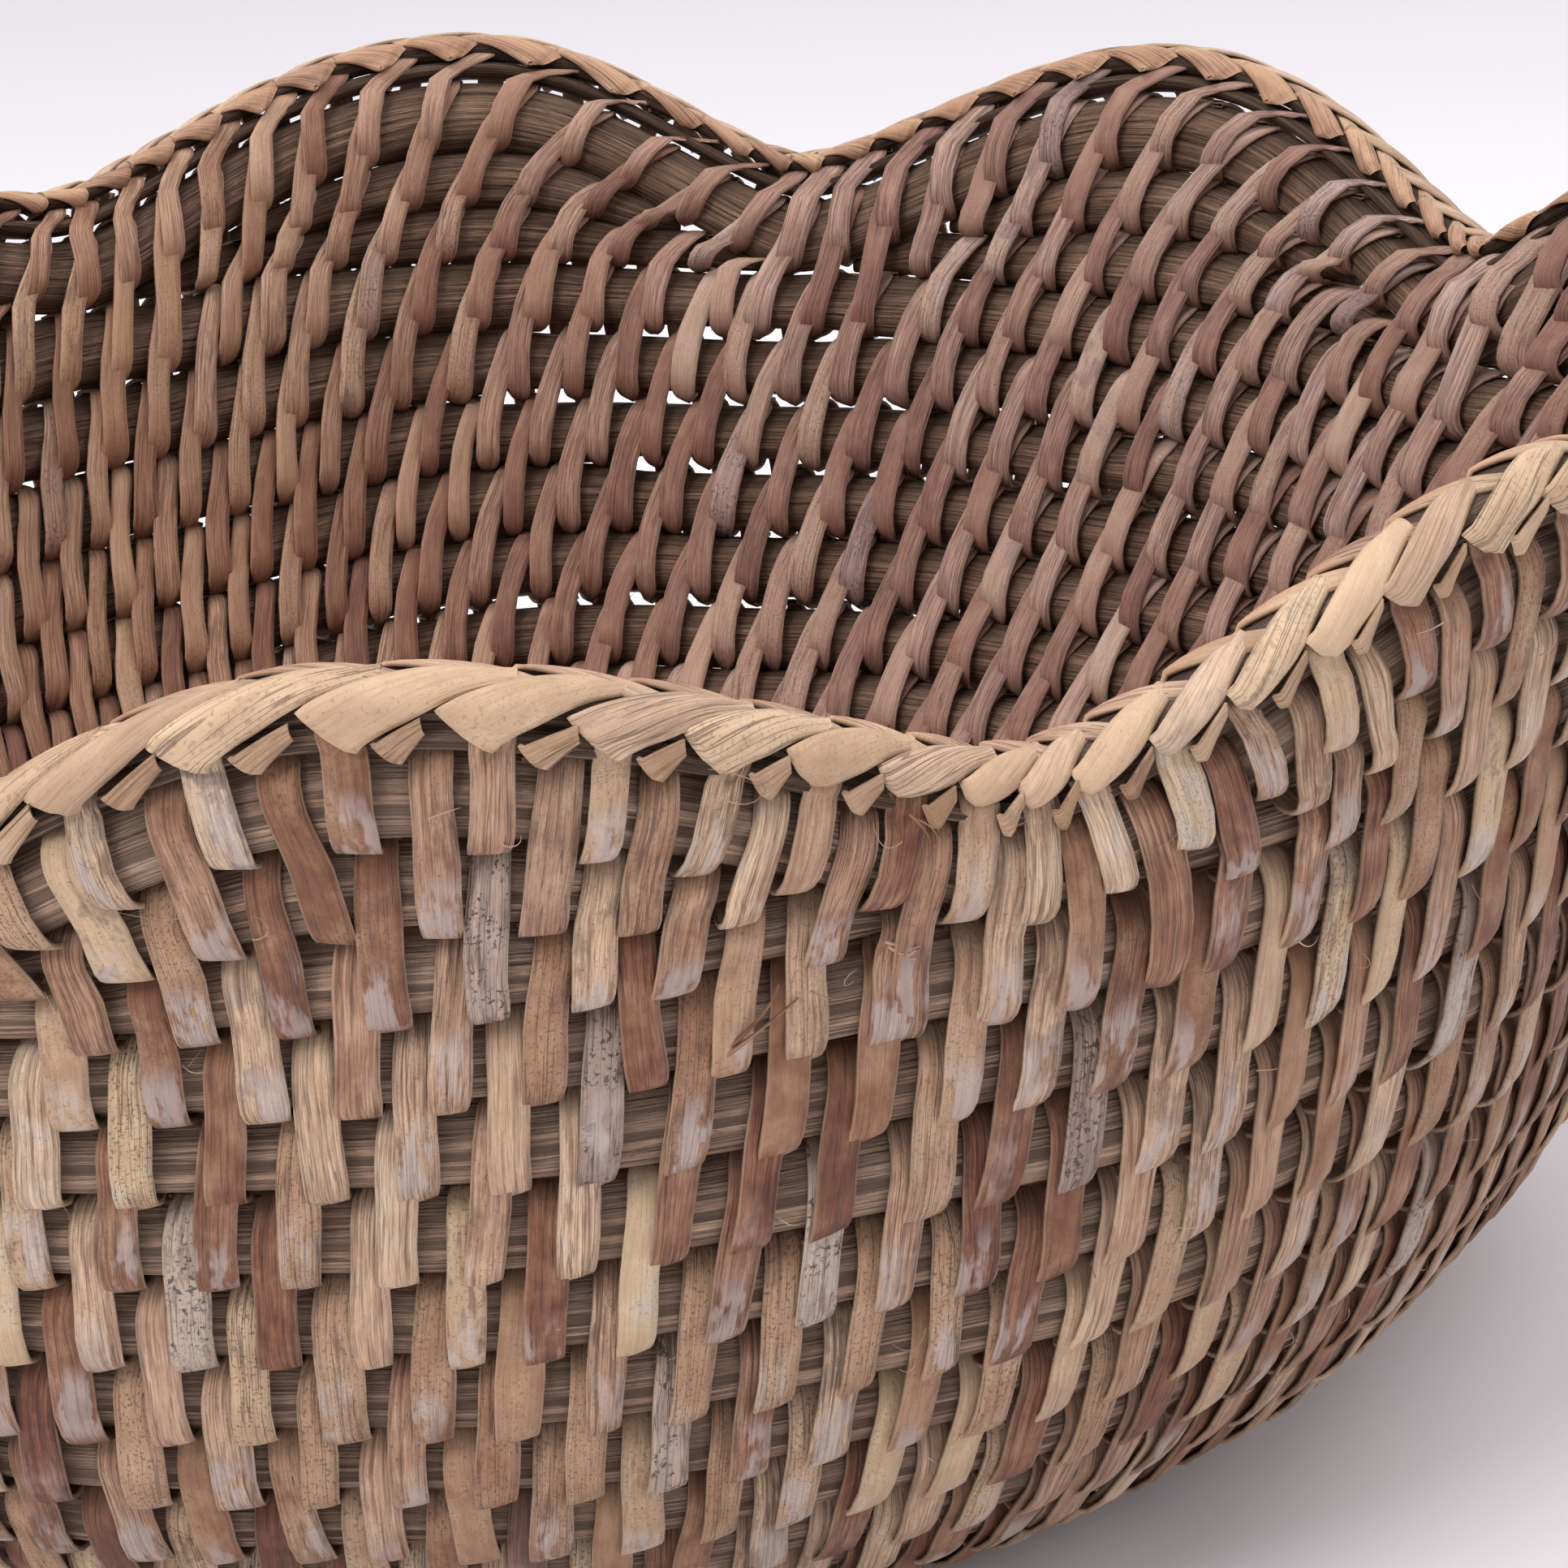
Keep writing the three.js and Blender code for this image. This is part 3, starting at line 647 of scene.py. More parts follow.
ROW_TONE = [0.14, 0.10, 0.13, 0.08, 0.10, 0.04, 0.09, 0.05, 0.07, 0.02, 0.05, 0.04, 0.03]
for kk in range(WALL_ROWS):
    cut = 0.15 / float(radius(np.array(kk + 0.5)))
    t = np.linspace(cut, TAU - cut, SEG)
    ph = STEP_END + t
    e = 1e-6
    top = row_top(kk, ph)
    bot = row_top(kk + 1, ph)
    fl = float(smooth((slope(np.array(kk + 0.5)) - 1.1) / 0.35))
    out = np.full(SEG, 4.35 - 0.35 * fl)
    top = top + half_gap(ph, kk) / PITCH
    bot = bot - half_gap(ph, kk + 1) / PITCH
    v, f, at = cane(ph, top, bot, out, 0.0, 100 + kk, ROW_TONE[kk])
    make(f"wall_coil_{kk + 1:02d}_cane", above_floor(v), f, [f"wall_coil_{kk + 1:02d}"], MAT_CORE, attrs=at)

# bottom spiral
w0 = 0.22 * TAU
cut = 0.2 / R_END
w = np.linspace(w0, (BASE_ROWS + 1) * TAU - cut, 90 * (BASE_ROWS + 1))
kb = LAST - np.minimum(BASE_ROWS, np.floor(w / TAU + 1e-9).astype(int))
tt = w - (LAST - kb) * TAU


def row_top_w(k, t):
    e = np.clip((k - WALL_ROWS) / 5.0, 0, 1)
    cl = climb(STEP_END + np.minimum(t, TAU - 1e-6))
    return k - ((1 - e) * cl + e * t / TAU)


top = row_top_w(kb, tt)
bot = np.where(kb == LAST, float(LAST), row_top_w(kb + 1, tt))
v, f, at = cane(STEP_END + w, top, bot, np.full(len(w), 4.1), 1.2, 140, -0.02)
make("base_spiral_cane", above_floor(v), f, ["base_spiral"], MAT_CORE, attrs=at)

# start button: a disc of core with a domed top and fine rings
BUTTON_R = (CENTRE_S - LAST) * PITCH - 0.4
rr = BUTTON_R * np.array([0.03, 0.15, 0.3, 0.45, 0.6, 0.75, 0.88, 0.96, 1.0, 1.0, 0.96, 0.85, 0.6, 0.3, 0.03])
zz = np.array([7.6, 7.6, 7.45, 7.55, 7.35, 7.4, 7.1, 6.7, 6.0, 1.6, 0.7, 0.15, 0.05, 0.05, 0.05])
qa = 48
an = np.linspace(0, TAU, qa, endpoint=False)
V = np.stack([rr[:, None] * np.cos(an), rr[:, None] * np.sin(an), np.broadcast_to(zz[:, None], (len(rr), qa))], -1).reshape(-1, 3)
F = strip_faces(1, len(rr), qa)[:, ::-1]
caps = []
for base, rev in ((0, True), ((len(rr) - 1) * qa, False)):
    for i in range(qa // 2 - 1):
        quad = [base + i, base + i + 1, base + qa - 2 - i, base + qa - 1 - i]
        caps.append(quad if rev else quad[::-1])
F = np.concatenate([F, np.array(caps)[:, ::-1]])
at = {"uvw": np.stack([np.repeat(rr, qa) * 1.0, np.tile(an, len(rr)) * 4, np.full(len(V), 3.0)], -1),
      "pos": np.stack([np.zeros(len(V)), np.ones(len(V)), np.full(len(V), 0.02)], -1)}
make("start_button_cane", V, F, ["start_button"], MAT_CORE, attrs=at)


# fillers in the lobes
def at_u(k, u):
    return np.where(u < 0, PEAK[k] + u * (PEAK[k] - START[k]), PEAK[k] + u * (VALLEY[k] - PEAK[k]))


def filler(name, node, k, u0, u1, low, seed, tone):
    u = np.linspace(u0, u1, 60)
    ph = at_u(k, u)
    full = LIFT[k] * bump_shape(u)
    lower = full * (1 - upper_share(u))
    top, bot = (-lower, 0 * u) if low else (-full, -lower)
    th = (bot - top) * PITCH
    v, f, a = cane(ph, top, bot, np.minimum(4.35, th * 0.5 + 0.35), 1.15 - 1.0 * looseness(ph, 0 * ph), seed, tone)
    make(name, v, f, [node], MAT_CORE, attrs=a)


for k in range(8):
    if k != STEP_LOBE:
        filler(f"lobe_{k + 1}_filler_lower_cane", f"lobe_{k + 1}_filler_lower", k, -0.86, 0.86, True, 200 + k, 0.12 + rng.normal(0, 0.03))
    filler(f"lobe_{k + 1}_filler_upper_cane", f"lobe_{k + 1}_filler_upper", k, -0.6, 0.6, False, 220 + k, 0.13 + rng.normal(0, 0.03))
k = STEP_LOBE
u = np.linspace(0.004, 0.86, 40)
lower = LIFT[k] * bump_shape(u) * (1 - upper_share(u)) * (1 + (1 / STEP_T - 1) * (1 - u / 0.86) ** 2)
v, f, a = cane(at_u(k, u), -lower, 0 * u, np.minimum(4.35, lower * PITCH * 0.5 + 0.35), 1.15, 240, 0.0)
make("coil_end_cane", v, f, ["coil_end"], MAT_CORE, attrs=a)

# row under the rim and the thin rim core
ph = STEP_END + np.linspace(0.002, TAU - 0.002, SEG + 120)
lf = lift(ph)
v, f, a = cane(ph, -lf - 1, -lf, np.full(len(ph), 4.3), 1.15 - 1.0 * looseness(ph, 0 * ph), 250, 0.16)
make("under_rim_coil_cane", v, f, ["under_rim_coil"], MAT_CORE, attrs=a)
v, f, a = cane(ph, -lf - 1.30, -lf - 1.06, np.full(len(ph), 3.3), 0.06, 251, 0.10, q=20)
make("rim_core_cane", v, f, ["rim_core"], MAT_RIMCORE, attrs=a)

# ------------------------------------------------------------------ stitches
SHIFT = -0.36
REF = math.radians(275)
TWO_PI = TAU
W0 = 3.45


def columns(count, offset):
    d = TAU / count
    j = np.arange(count)
    return REF + (j + offset) * d


def counts(k):
    rmid = float(radius(np.array(min(k + 1.0, 18.2))))
    return int(max(7, min(104 - 2 * max(0, k - 1), round(TAU * rmid / 6.7))))


g0 = np.random.default_rng(5)


def jitter(ph, count, amount=0.05):
    return ph + g0.normal(0, amount, len(ph)) * TAU / count


def place(level, ph, fs, A, h_low=1.2, width=W0, seed=0, tone=0.0, diag=0.025, lean=-0.12):
    s_mid = float(level)
    loose = looseness(ph, np.full(len(ph), s_mid))
    return stitches(ph, fs, A, width * np.ones(len(ph)), loose, seed, h_low=h_low, tone=tone, diag=diag, lean_extra=lean)


# offsets of the columns, in stitches, for each level
OFF = {"R": 0.0, "T": -0.44, "B": -0.907, "C": -1.373, 0: -1.84}
for kk in range(1, 13):
    OFF[kk] = OFF[kk - 1] + SHIFT

TONE_ROW = {0: 0.02, 1: -0.02, 2: 0.0, 3: -0.05, 4: -0.07, 5: -0.06, 6: -0.08, 7: -0.05, 8: -0.06}
for kk in range(0, 13):
    n = counts(kk)
    ph = jitter(columns(n, OFF[kk]), n, 0.045)
    A = np.tile([4.3, 4.3], (n, 1))
    if kk >= 10:
        A = np.tile([4.15, 4.05], (n, 1))
    fs = (lambda p, q=kk: row_top(q, p), lambda p, q=kk: row_top(q + 1, p), lambda p, q=kk: row_top(q + 2, p))
    h_low = 1.2 if kk < 10 else 0.45
    part = place(kk, ph, fs, A, h_low=h_low, seed=300 + kk, tone=TONE_ROW.get(kk, -0.04), width=W0 if kk < 9 else 3.2)
    v, f, a = part
    if kk >= 9:
        v = above_floor(v)
    make(f"stitch_row_{kk + 1:02d}", v, f, (), MAT_PEEL, attrs=a)

# bottom stitches
for kk in range(13, 18):
    n = counts(kk)
    ph = jitter(columns(n, OFF[12] + SHIFT * (kk - 12)), n, 0.04)
    A = np.tile([4.05, 4.05], (n, 1))

    def edge(p, q):
        return np.minimum(row_top(q, p), 18.35 + 0 * p) if q < 19 else 18.4 + 0 * p

    fs = (lambda p, q=kk: edge(p, q), lambda p, q=kk: edge(p, q + 1), lambda p, q=kk: edge(p, q + 2))
    v, f, a = place(kk, ph, fs, A, h_low=0.28, seed=300 + kk, tone=-0.03, width=3.0, diag=0.03)
    v = above_floor(v)
    make(f"stitch_row_{kk + 1:02d}", v, f, (), MAT_PEEL, attrs=a)


# stitches over the lobes
def lobe_levels():
    n = 104
    out = {}
    # the row under the rim
    base = columns(n, OFF["T"])
    ph = jitter(base, n, 0.04)
    fanned = ph
    _, u = lobe(fanned)
    tu = lift(fanned) * upper_share(u)
    tl = lower_top(fanned)
    first_, second = tu > 0.36, (tu <= 0.36) & (tl > 0.40)
    neither = ~first_ & ~second
    groups = [
        (first_, lambda p: -lift(p) - 1, lambda p: -lift(p), lambda p: -lower_top(p), [4.3, 4.0]),
        (second, lambda p: -lift(p) - 1, lambda p: -lift(p), lambda p: 0 * p, [4.3, 4.0]),
        (neither, lambda p: -lift(p) - 1, lambda p: -lift(p), lambda p: row_top(1, p), [4.3, 4.3]),
    ]
    parts = []
    for i, (mask, t, m_, l_, A) in enumerate(groups):
        if mask.any():
            parts.append(place(-2, ph[mask], (t, m_, l_), np.tile(A, (mask.sum(), 1)), h_low=1.2, seed=400 + i, tone=0.03, diag=-0.03, lean=0.03))
    out["T"] = join(parts)
    # short stitches that hold the rim core: one row only
    ph = jitter(columns(n, OFF["R"]), n, 0.03)
    out["R"] = place(-3, ph, (lambda p: -lift(p) - 1.40, lambda p: -lift(p) - 1.0, lambda p: -lift(p)), np.tile([2.6, 4.3], (n, 1)), h_low=1.2, seed=410, tone=0.02, diag=-0.03, lean=0.03)
    # over the upper filler
    ph = jitter(columns(n, OFF["B"]), n, 0.04)
    k_, u = lobe(ph)
    tu = lift(ph) * upper_share(u)
    mask = tu > 0.36
    out["B"] = place(-1, ph[mask], (lambda p: -lift(p), lambda p: -lower_top(p), lambda p: row_top(0, p)), np.tile([4.0, 4.1], (mask.sum(), 1)), seed=420, tone=0.02, diag=0.0, lean=-0.04)
    # over the lower filler
    ph = jitter(columns(n, OFF["C"]), n, 0.04)
    k_, u = lobe(ph)
    ph = ph - 0.27 * smooth((np.abs(u) - 0.5) / 0.2) * TAU / n
    tl = lower_top(ph)
    mask = (tl > 0.40) & ~((k_ == STEP_LOBE) & (u < 0))
    out["C"] = place(-0.5, ph[mask], (lambda p: -lower_top(p), lambda p: row_top(0, p), lambda p: row_top(1, p)), np.tile([4.1, 4.3], (mask.sum(), 1)), seed=430, tone=0.0, diag=0.0, lean=-0.08)
    return out


LL = lobe_levels()
v, f, a = LL["T"]
make("stitch_row_under_rim", v, f, (), MAT_PEEL, attrs=a)
v, f, a = LL["R"]
make("stitch_row_rim_short", v, f, (), MAT_PEEL, attrs=a)
v, f, a = LL["B"]
make("stitches_upper_filler", v, f, (), MAT_PEEL, attrs=a)
v, f, a = LL["C"]
make("stitches_lower_filler", v, f, (), MAT_PEEL, attrs=a)
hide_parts("binding_strip_outside", "binding_strip_inside")

# ------------------------------------------------------------------ plaited border
BR_A = 2.55                       # half width of the border's inner form (mm)


def br_s(phi):
    """Half height of the border's inner form (mm): taller on the lobes."""
    return 0.95 + 0.55 * bump_shape(lobe(phi)[1])


def br_c(phi):
    """Its centre above the row under the rim, in rows."""
    return 1.515 - 0.041 * bump_shape(lobe(phi)[1])



def fan_top(phi0):
    """Azimuth at the rim of the column that stands at phi0 at the foot of the lobe."""
    o, od = lift(phi0), lift_slope(phi0)
    return phi0 - LEAN * (PITCH / 125.0) ** 2 * od * (0.5 * o + 1.1)


def border_leaves(outer=True):
    n = 104
    g = np.random.default_rng(60 if outer else 61)
    j = np.arange(n)
    p0 = REF + (j + (OFF["R"] - 0.24 if outer else OFF["R"] + 0.26)) * TAU / n
    p0 = p0 + g.normal(0, 0.035, n) * TAU / n
    p1 = p0 + TAU / n
    a0, a1 = fan_top(p0), fan_top(p1)
    d = (a1 - a0)[:, None, None]
    m, q = (22, 9)
    uu = np.linspace(0, 1, m)[None, :, None]
    vv = np.linspace(-1, 1, q)[None, None, :]
    if outer:
        length, psi0, psi1 = 1.40, math.radians(-27), math.radians(122)
        hw0, hw1 = math.radians(50), math.radians(29)
        lift0, lift1, shear = 0.95, 0.12, 0.17
    else:
        length, psi0, psi1 = 1.40, math.radians(207), math.radians(64)
        hw0, hw1 = math.radians(48), math.radians(27)
        lift0, lift1, shear = 0.85, 0.10, 0.17
    lj = 1 + g.normal(0, 0.045, n)[:, None, None]
    wj = 1 + g.normal(0, 0.05, n)[:, None, None]
    low_side = vv if outer else -vv
    # the lower corner of the fold is rounded, the upper tip runs back over the leaf before
    crest = bump_shape(lobe(a0)[1])[:, None, None]
    crest = smooth(crest * 1.15)
    corner = np.clip(-low_side, 0, 1) ** (8 * crest + 3 * (1 - crest)) * (0.13 - 0.09 * crest) - (0.10 + (shear - 0.10) * crest) * low_side
    phi = a0[:, None, None] + d * (length * lj * uu + corner * (1 - uu) ** 2)
    prog = 0.62 * uu + 0.38 * uu ** 0.55
    psi = psi0 + (psi1 - psi0) * prog + vv * (hw0 + (hw1 - hw0) * uu ** 0.8) * wj * (1 if outer else 1)
    hgt = lift0 + (lift1 - lift0) * smooth(uu * 1.08)
    hgt = hgt * (1 + g.normal(0, 0.08, n)[:, None, None])
    # the fold at the start turns in under itself
    fold = np.sqrt(np.clip(1 - (np.clip(uu / 0.06, 0, 1) - 1) ** 2, 0, 1))
    hgt = hgt - 0.75 * (1 - fold) + (0.62 - 0.30 * crest) * (1 - vv ** 2) - 0.12 * (1 - crest)
    # and it dips where the next leaf crosses it
    hgt = hgt - 0.25 * smooth((uu - 0.62) / 0.3)
    # below the middle the leaf hangs outside the stitches
    under = np.sin(psi) < 0
    a = (BR_A + hgt) * np.where(under, np.sign(np.cos(psi)) * (crest * (1 + 0.36 * np.sin(psi) ** 2) + (1 - crest) * (0.32 + 0.68 * np.abs(np.cos(psi)))), np.cos(psi))
    up = (br_s(phi) + hgt * 0.9) * np.sin(psi)
    s = -lift(phi) - br_c(phi) - up / PITCH
    top = wall(phi, s, a)
    if not outer:
        top = top[:, :, ::-1]
    full, _ = thicken(top, 0.42)
    qq = 2 * q
    V = full.reshape(-1, 3)
    F = strip_faces(n, m, qq)
    F2 = []
    for i in range(n):
        for base, rev in ((i * m * qq, False), (i * m * qq + (m - 1) * qq, True)):
            for t_ in range(q - 1):
                quad = [base + t_, base + t_ + 1, base + qq - 2 - t_, base + qq - 1 - t_]
                F2.append(quad[::-1] if rev else quad)
    F = np.concatenate([F, np.array(F2)])
    ones = np.ones((n, m, qq))
    vq = np.concatenate([vv[0, 0], vv[0, 0][::-1]])[None, None, :]
    sd = g.uniform(0, 100, n)[:, None, None]
    uvw = np.stack([vq * 1.6 * ones, uu * 12 * ones, sd * ones], -1).reshape(-1, 3)
    rr_ = [g.uniform(0, 1, n)[:, None, None] * ones for _ in range(3)]
    rnd = np.stack(rr_, -1).reshape(-1, 3)
    turned = np.concatenate([psi, psi[:, :, ::-1]], 2) if outer else np.concatenate([psi[:, :, ::-1], psi], 2)
    # painted shade: leaf parts turned to face into the basket get the browner inside-face tint, and the inner leaves
    # are picked darker (tone -0.12), for the shade inside the rim
    pos = np.stack([0.5 * ones, np.clip((math.radians(128) - turned) * 0.14, -1, 1) * ones, vq * 0.93 * ones], -1).reshape(-1, 3)
    ex = np.stack([np.full(ones.shape, 0.0 if outer else -0.12), 0 * ones, 0 * ones], -1).reshape(-1, 3)
    return V, F, {"uvw": uvw, "rnd": rnd, "pos": pos, "extra": ex}


v, f, a = border_leaves(True)
lo = make("border_leaves_outer", v, f, ["rim_border"], MAT_PALE, attrs=a)
v, f, a = border_leaves(False)
li = make("border_leaves_inner", v, f, (), MAT_PALE, attrs=a)
# the form under the plait, so nothing shows through it
v, f, a = cane(ph := STEP_END + np.linspace(0.002, TAU - 0.002, SEG + 120), -lift(ph) - br_c(ph) - br_s(ph) / PITCH, -lift(ph) - br_c(ph) + br_s(ph) / PITCH, np.full(len(ph), BR_A), 0.0, 260, -0.05, q=12)
make("border_core_cane", v, f, (), MAT_RIMCORE, attrs=a)


def tabs():
    """The fold below each leaf: a shorter band, coloured darker as painted shade under the leaf, that peeks out to the
    right of the leaf's corner.
    """
    n = 104
    g = np.random.default_rng(70)
    p0 = REF + (np.arange(n) + OFF["R"] + 0.05 + g.normal(0, 0.03, n)) * TAU / n
    a0 = fan_top(p0)
    d = (fan_top(p0 + TAU / n) - a0)[:, None, None]
    m, q = 12, 7
    uu = np.linspace(0, 1, m)[None, :, None]
    vv = np.linspace(-1, 1, q)[None, None, :]
    ln = (0.33 + g.normal(0, 0.04, n))[:, None, None]
    phi = a0[:, None, None] + d * (0.22 + ln * uu - 0.07 * vv * (1 - uu) + 0.04 * np.clip(-vv, 0, 1) ** 4 * (1 - uu))
    b = bump_shape(lobe(phi)[1])
    s = -lift(phi) - 1.225 + 0.05 * b - 0.24 * uu ** 0.9 - (0.115 + g.normal(0, 0.010, n)[:, None, None]) * (1 - 0.22 * uu) * vv
    fold = np.sqrt(np.clip(1 - (np.clip(uu / 0.10, 0, 1) - 1) ** 2, 0, 1))
    a = 4.35 - 0.55 * (1 - fold) + 0.2 * (1 - vv ** 2) - 1.1 * uu - 0.8 * np.clip(-vv - 0.55, 0, 1) ** 2
    top = wall(phi, s, a + 0 * s)
    full, _ = thicken(top, 0.38)
    qq = 2 * q
    ones = np.ones((n, m, qq))
    vq = np.concatenate([vv[0, 0], vv[0, 0][::-1]])[None, None, :]
    uvw = np.stack([vq * 1.4 * ones, uu * 5 * ones, g.uniform(0, 90, n)[:, None, None] * ones], -1).reshape(-1, 3)
    rnd = np.stack([g.uniform(0, 1, n)[:, None, None] * ones for _ in range(3)], -1).reshape(-1, 3)
    pos = np.stack([0.5 * ones, ones, vq * 0.9 * ones], -1).reshape(-1, 3)
    ex = np.stack([np.full(ones.shape, 0.06), 0 * ones, 0 * ones], -1).reshape(-1, 3)
    F = strip_faces(n, m, qq)
    F2 = []
    for i in range(n):
        for base, rev in ((i * m * qq, False), (i * m * qq + (m - 1) * qq, True)):
            for t_ in range(q - 1):
                quad = [base + t_, base + t_ + 1, base + qq - 2 - t_, base + qq - 1 - t_]
                F2.append(quad[::-1] if rev else quad)
    return full.reshape(-1, 3), np.concatenate([F, np.array(F2)]), {"uvw": uvw, "rnd": rnd, "pos": pos, "extra": ex}


v, f, a = tabs()
make("border_tucks", v, f, (), MAT_TUCK_SHADED, attrs=a)

# ------------------------------------------------------------------ loose fibres
def hairs():
    g = np.random.default_rng(90)
    n = 340
    m, q = 12, 5
    s0 = np.where(g.uniform(0, 1, n) < 0.45, g.uniform(-2.6, 0.2, n), g.uniform(0, 7, n))
    p0 = g.uniform(0, TAU, n)
    s0 = np.maximum(s0, -lift(p0) - 1.2)
    size = g.uniform(1.2, 4.6, n) * np.where(g.uniform(0, 1, n) < 0.2, 1.8, 1.0)
    ang = g.uniform(0, TAU, n)
    curl = g.normal(0, 1.9, n)
    uu = np.linspace(0, 1, m)
    th = ang[:, None] + curl[:, None] * uu[None]
    dx = np.cumsum(np.cos(th), 1) / m * size[:, None]
    dy = np.cumsum(np.sin(th), 1) / m * size[:, None]
    out = 4.6 + g.uniform(0.2, 1.1, n)[:, None] + 1.2 * np.sin(math.pi * uu)[None] * g.uniform(0.1, 1.0, n)[:, None]
    phi = p0[:, None] + dx / 120.0
    s = s0[:, None] + dy / PITCH
    c = wall(phi, s, out)
    tan = np.gradient(c, axis=1)
    tan /= np.linalg.norm(tan, axis=-1, keepdims=True)
    ref = np.broadcast_to(np.array([0.31, 0.22, 0.92]), tan.shape)
    e1 = np.cross(tan, ref)
    e1 /= np.linalg.norm(e1, axis=-1, keepdims=True)
    e2 = np.cross(tan, e1)
    rad = (g.uniform(0.03, 0.085, n)[:, None] * (1 - 0.75 * uu)[None])[:, :, None, None]
    a = np.linspace(0, TAU, q, endpoint=False)
    ring = c[:, :, None] + rad * (np.cos(a)[None, None, :, None] * e1[:, :, None] + np.sin(a)[None, None, :, None] * e2[:, :, None])
    ones = np.ones((n, m, q))
    sd = g.uniform(0, 90, n)[:, None, None] * ones
    at = {"uvw": np.stack([ones * 0.1, uu[None, :, None] * 4 * ones, sd], -1).reshape(-1, 3),
          "rnd": np.stack([g.uniform(0.2, 1, n)[:, None, None] * ones, 0.3 * ones, 0.2 * ones], -1).reshape(-1, 3),
          "pos": np.stack([0.5 * ones, ones, 0 * ones], -1).reshape(-1, 3),
          "extra": np.zeros((n * m * q, 3))}
    return ring.reshape(-1, 3), strip_faces(n, m, q), at


v, f, a = hairs()
make("loose_fibres", v, f, (), MAT_PEEL, attrs=a)

# a few loose twigs, curled peel ends and the splinters of a broken core, on the front
def strands(lines, seed, q=6, m=14):
    """lines: (points of (azimuth in degrees, row, mm outwards), radius at the start, radius at the end)."""
    g = np.random.default_rng(seed)
    V, uv, rn = [], [], []
    for pts, ra, rb in lines:
        P = np.array(pts, float)
        key = np.linspace(0, 1, len(P))
        tt_ = np.linspace(0, 1, m)
        if len(P) > 2:
            co = [np.polyval(np.polyfit(key, P[:, i], len(P) - 1), tt_) for i in range(3)]
        else:
            co = [np.interp(tt_, key, P[:, i]) for i in range(3)]
        c = wall(np.radians(co[0]), co[1], co[2])
        tan = np.gradient(c, axis=0)
        tan /= np.linalg.norm(tan, axis=-1, keepdims=True)
        e1 = np.cross(tan, np.array([0.31, 0.22, 0.92]))
        e1 /= np.linalg.norm(e1, axis=-1, keepdims=True)
        e2 = np.cross(tan, e1)
        rad = (ra + (rb - ra) * tt_)[:, None, None]
        an_ = np.linspace(0, TAU, q, endpoint=False)
        V.append((c[:, None] + rad * (np.cos(an_)[None, :, None] * e1[:, None] + np.sin(an_)[None, :, None] * e2[:, None])).reshape(-1, 3))
        one = np.ones((m, q))
        uv.append(np.stack([np.broadcast_to(an_ * ra, (m, q)), tt_[:, None] * 6 * one, one * g.uniform(0, 90)], -1).reshape(-1, 3))
        rn.append(np.stack([one * (g.uniform(0.0, 0.25) if len(rn) < 4 else g.uniform(0.5, 0.9)), 0.3 * one, 0.2 * one], -1).reshape(-1, 3))
    n = len(V)
    pos = np.tile([0.5, 1.0, 0.0], (n * m * q, 1))
    return np.concatenate(V), strip_faces(n, m, q), {"uvw": np.concatenate(uv), "rnd": np.concatenate(rn), "pos": pos, "extra": np.zeros((n * m * q, 3))}


twig_lines = [
    ([(273.0, 0.62, 5.7), (274.4, 0.33, 6.5), (275.95, 0.10, 5.9)], 0.26, 0.10),
    ([(273.3, 0.50, 5.9), (274.6, 0.12, 6.7), (275.2, -0.10, 6.0)], 0.20, 0.08),
    ([(280.0, -1.72, 5.4), (280.75, -1.42, 6.3), (280.35, -1.15, 6.0)], 0.10, 0.04),
    ([(280.2, -1.66, 5.4), (280.95, -1.50, 6.2), (280.75, -1.22, 6.0)], 0.09, 0.03),
]
twig_rng = np.random.default_rng(93)
for i in range(10):
    row_at = -0.26 + 0.22 * i / 9 + twig_rng.normal(0, 0.015)
    deg_at = 279.1 + twig_rng.uniform(0, 0.3)
    reach = twig_rng.uniform(0.6, 1.5)
    twig_lines.append(([(deg_at, row_at, 4.5), (deg_at + reach * 0.6, row_at + twig_rng.normal(0, 0.03), 5.5), (deg_at + reach, row_at + twig_rng.normal(0, 0.06), 5.9 + twig_rng.uniform(-0.3, 0.5))], twig_rng.uniform(0.14, 0.26), 0.05))
v, f, a = strands(twig_lines, 94)
make("twigs_and_splinters", v, f, (), MAT_PEEL, attrs=a)

# ------------------------------------------------------------------ floor, light and camera
def floor_material():
    m, nt, bs = tree("pale_floor")
    k = N(nt)
    tc = nt.nodes.new("ShaderNodeTexCoord")
    n1 = k.noise(tc.outputs["Object"], 1.3, 3.0, 0.5)
    _, fy, _ = k.sep(tc.outputs["Object"])
    # painted light: the floor is lighter in front of the basket and darker behind it (y above 0.9 m), standing in for
    # the light falling off across the floor
    col = k.mix(k.band(fy, -0.2, 0.9), k.ramp(n1, [(0.3, (0.83, 0.81, 0.83)), (0.7, (0.87, 0.85, 0.88))]), (0.585, 0.572, 0.595))
    k.put(bs.inputs["Base Color"], col)
    k.put(bs.inputs["Roughness"], k.m("ADD", 0.62, k.m("MULTIPLY", n1, 0.1)))
    bs.inputs["Specular IOR Level"].default_value = 0.2
    k.put(bs.inputs["Normal"], k.bump(k.noise(tc.outputs["Object"], 60.0, 2.0), 0.04, 0.001))
    return m


me = bpy.data.meshes.new("floor")
S_ = 6.0
me.from_pydata([(-S_, -S_, 0), (S_, -S_, 0), (S_, S_, 0), (-S_, S_, 0)], [], [(0, 1, 2, 3)])
floor = bpy.data.objects.new("floor", me)
floor.location = (0, 0, -0.0003)
me.materials.append(floor_material())
bpy.context.scene.collection.objects.link(floor)

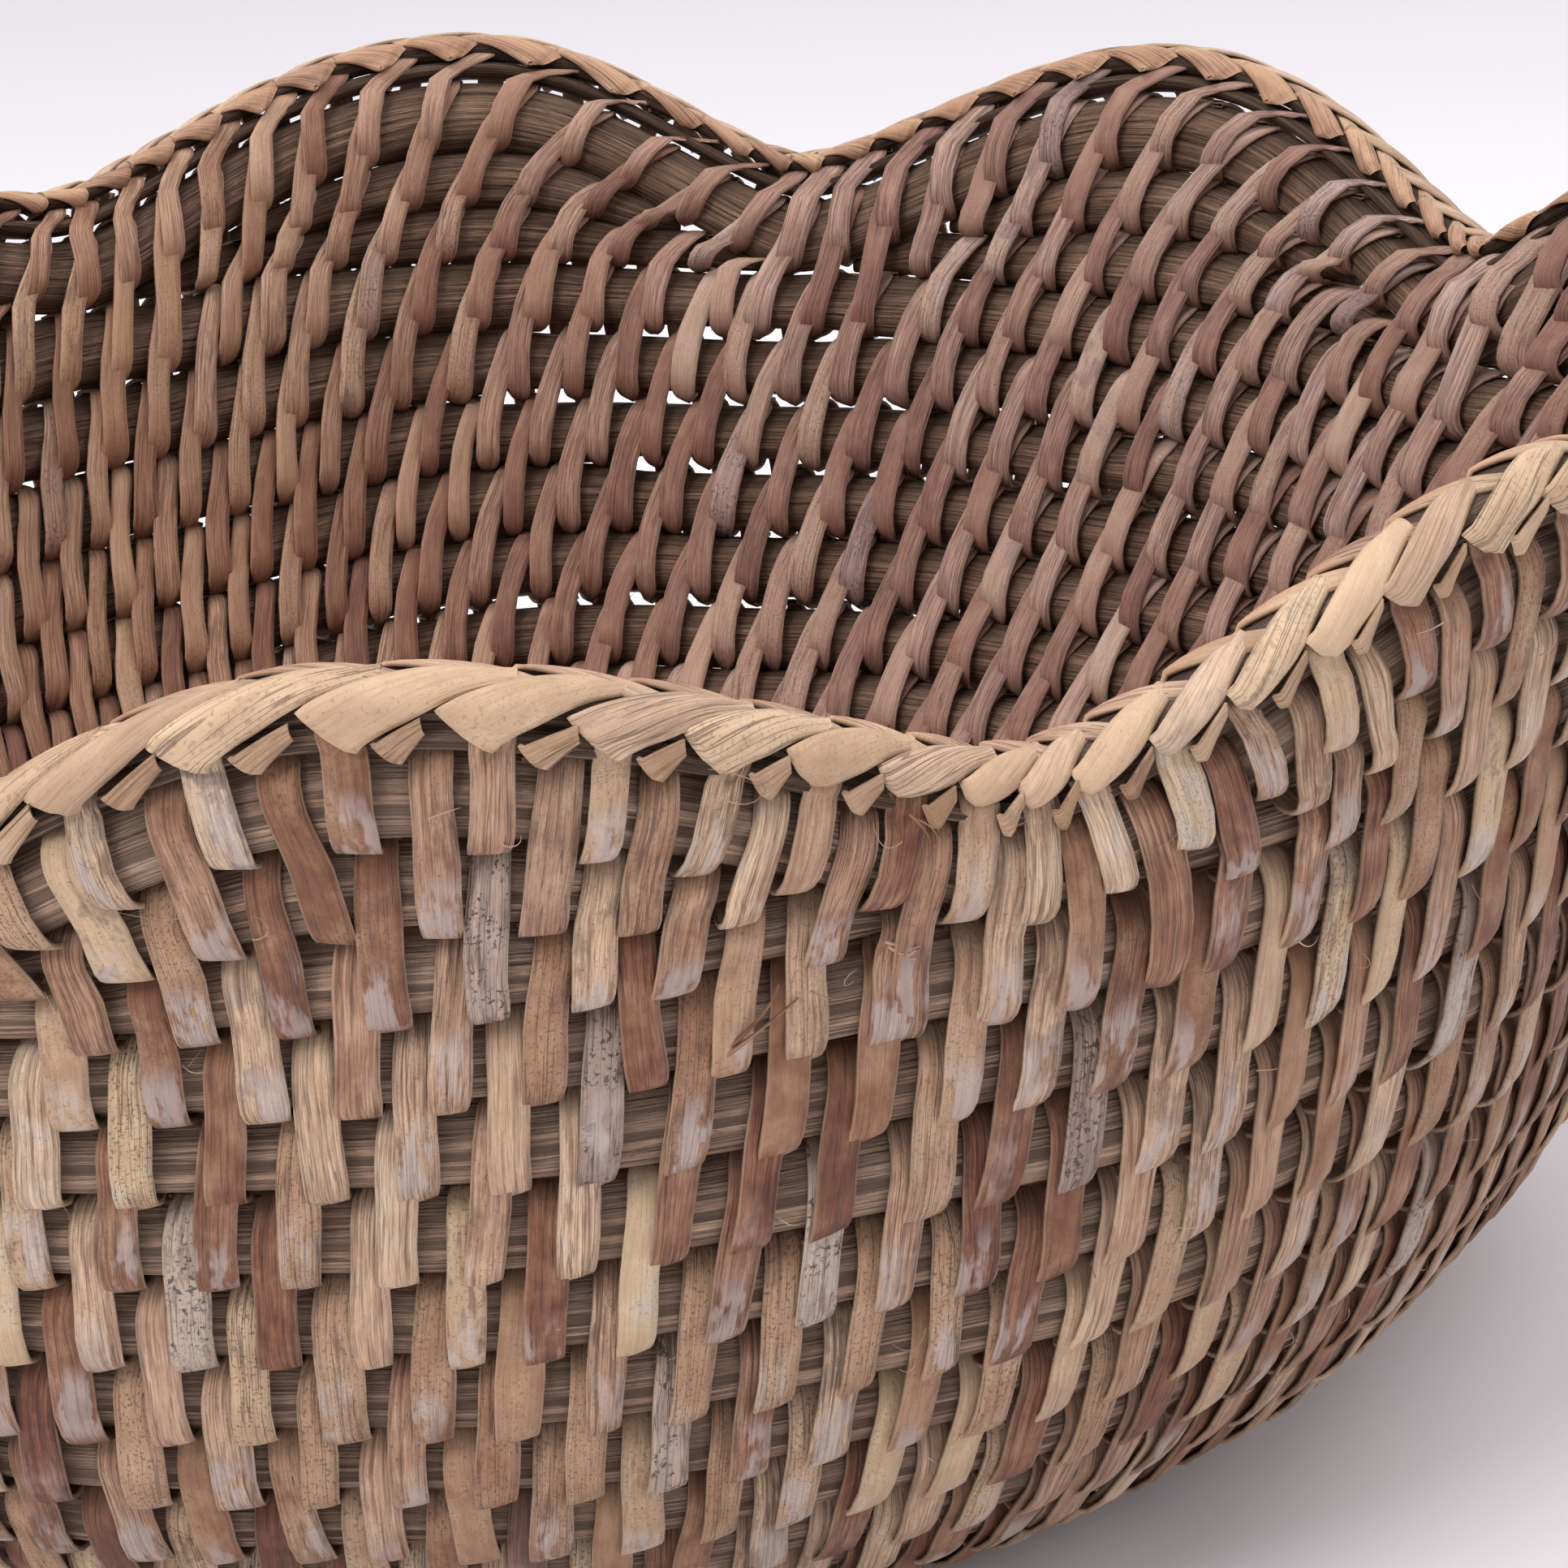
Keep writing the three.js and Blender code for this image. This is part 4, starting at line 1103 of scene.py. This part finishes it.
world = bpy.data.worlds.new("studio")
bpy.context.scene.world = world
world.use_nodes = True
bg = world.node_tree.nodes["Background"]
bg.inputs["Color"].default_value = (0.965, 0.945, 0.985, 1.0)
bg.inputs["Strength"].default_value = 0.80
bpy.context.scene.view_settings.view_transform = "Standard"


def area(name, loc, target, size, power, colour):
    ld = bpy.data.lights.new(name, "AREA")
    ld.shape = "DISK"
    ld.size = size
    ld.energy = power
    ld.color = colour
    ob = bpy.data.objects.new(name, ld)
    ob.location = loc
    ob.rotation_euler = (Vector(target) - Vector(loc)).to_track_quat("-Z", "Y").to_euler()
    bpy.context.scene.collection.objects.link(ob)
    return ob


area("key", (-0.50, 0.15, 1.6), (0, 0, 0.05), 0.7, 13.0, (1.0, 0.98, 0.97))
area("fill", (1.0, 0.35, 1.5), (0.25, -0.15, 0), 1.0, 8.0, (1.0, 0.985, 0.99))
area("side", (1.35, -0.55, 0.85), (0.05, 0, 0.03), 0.9, 2.2, (1.0, 0.98, 0.98))
area("front", (-0.86, -1.08, 1.30), (0, 0, 0.03), 0.75, 15.6, (1.0, 0.985, 1.0))

TILT, PAN, ROLL = 0.3492, -0.035, -0.0497
F_PX = 6057.9
cam_z = float(height(np.array(0.0))) - (-0.0981) * U + 0.9183 * U
cam_d = bpy.data.cameras.new("camera")
cam_d.sensor_width = 36.0
cam_d.sensor_fit = "HORIZONTAL"
cam_d.lens = 36.0 * F_PX / 1932.0
cam_d.clip_start = 0.01
cam_d.clip_end = 50
cam_d.dof.use_dof = False
cam = bpy.data.objects.new("camera", cam_d)
bpy.context.scene.collection.objects.link(cam)
Rv = Vector((math.cos(PAN), math.sin(PAN), 0))
Fv = Vector((-math.sin(PAN) * math.cos(TILT), math.cos(PAN) * math.cos(TILT), -math.sin(TILT)))
Uv = Vector((-math.sin(PAN) * math.sin(TILT), math.cos(PAN) * math.sin(TILT), math.cos(TILT)))
right = Rv * math.cos(ROLL) + Uv * math.sin(ROLL)
up = Uv * math.cos(ROLL) - Rv * math.sin(ROLL)
mw = Matrix((right, up, -Fv)).transposed().to_4x4()
mw.translation = Vector((0, -3.3076 * U, cam_z)) * 0.001
cam.matrix_world = mw
bpy.context.scene.camera = cam
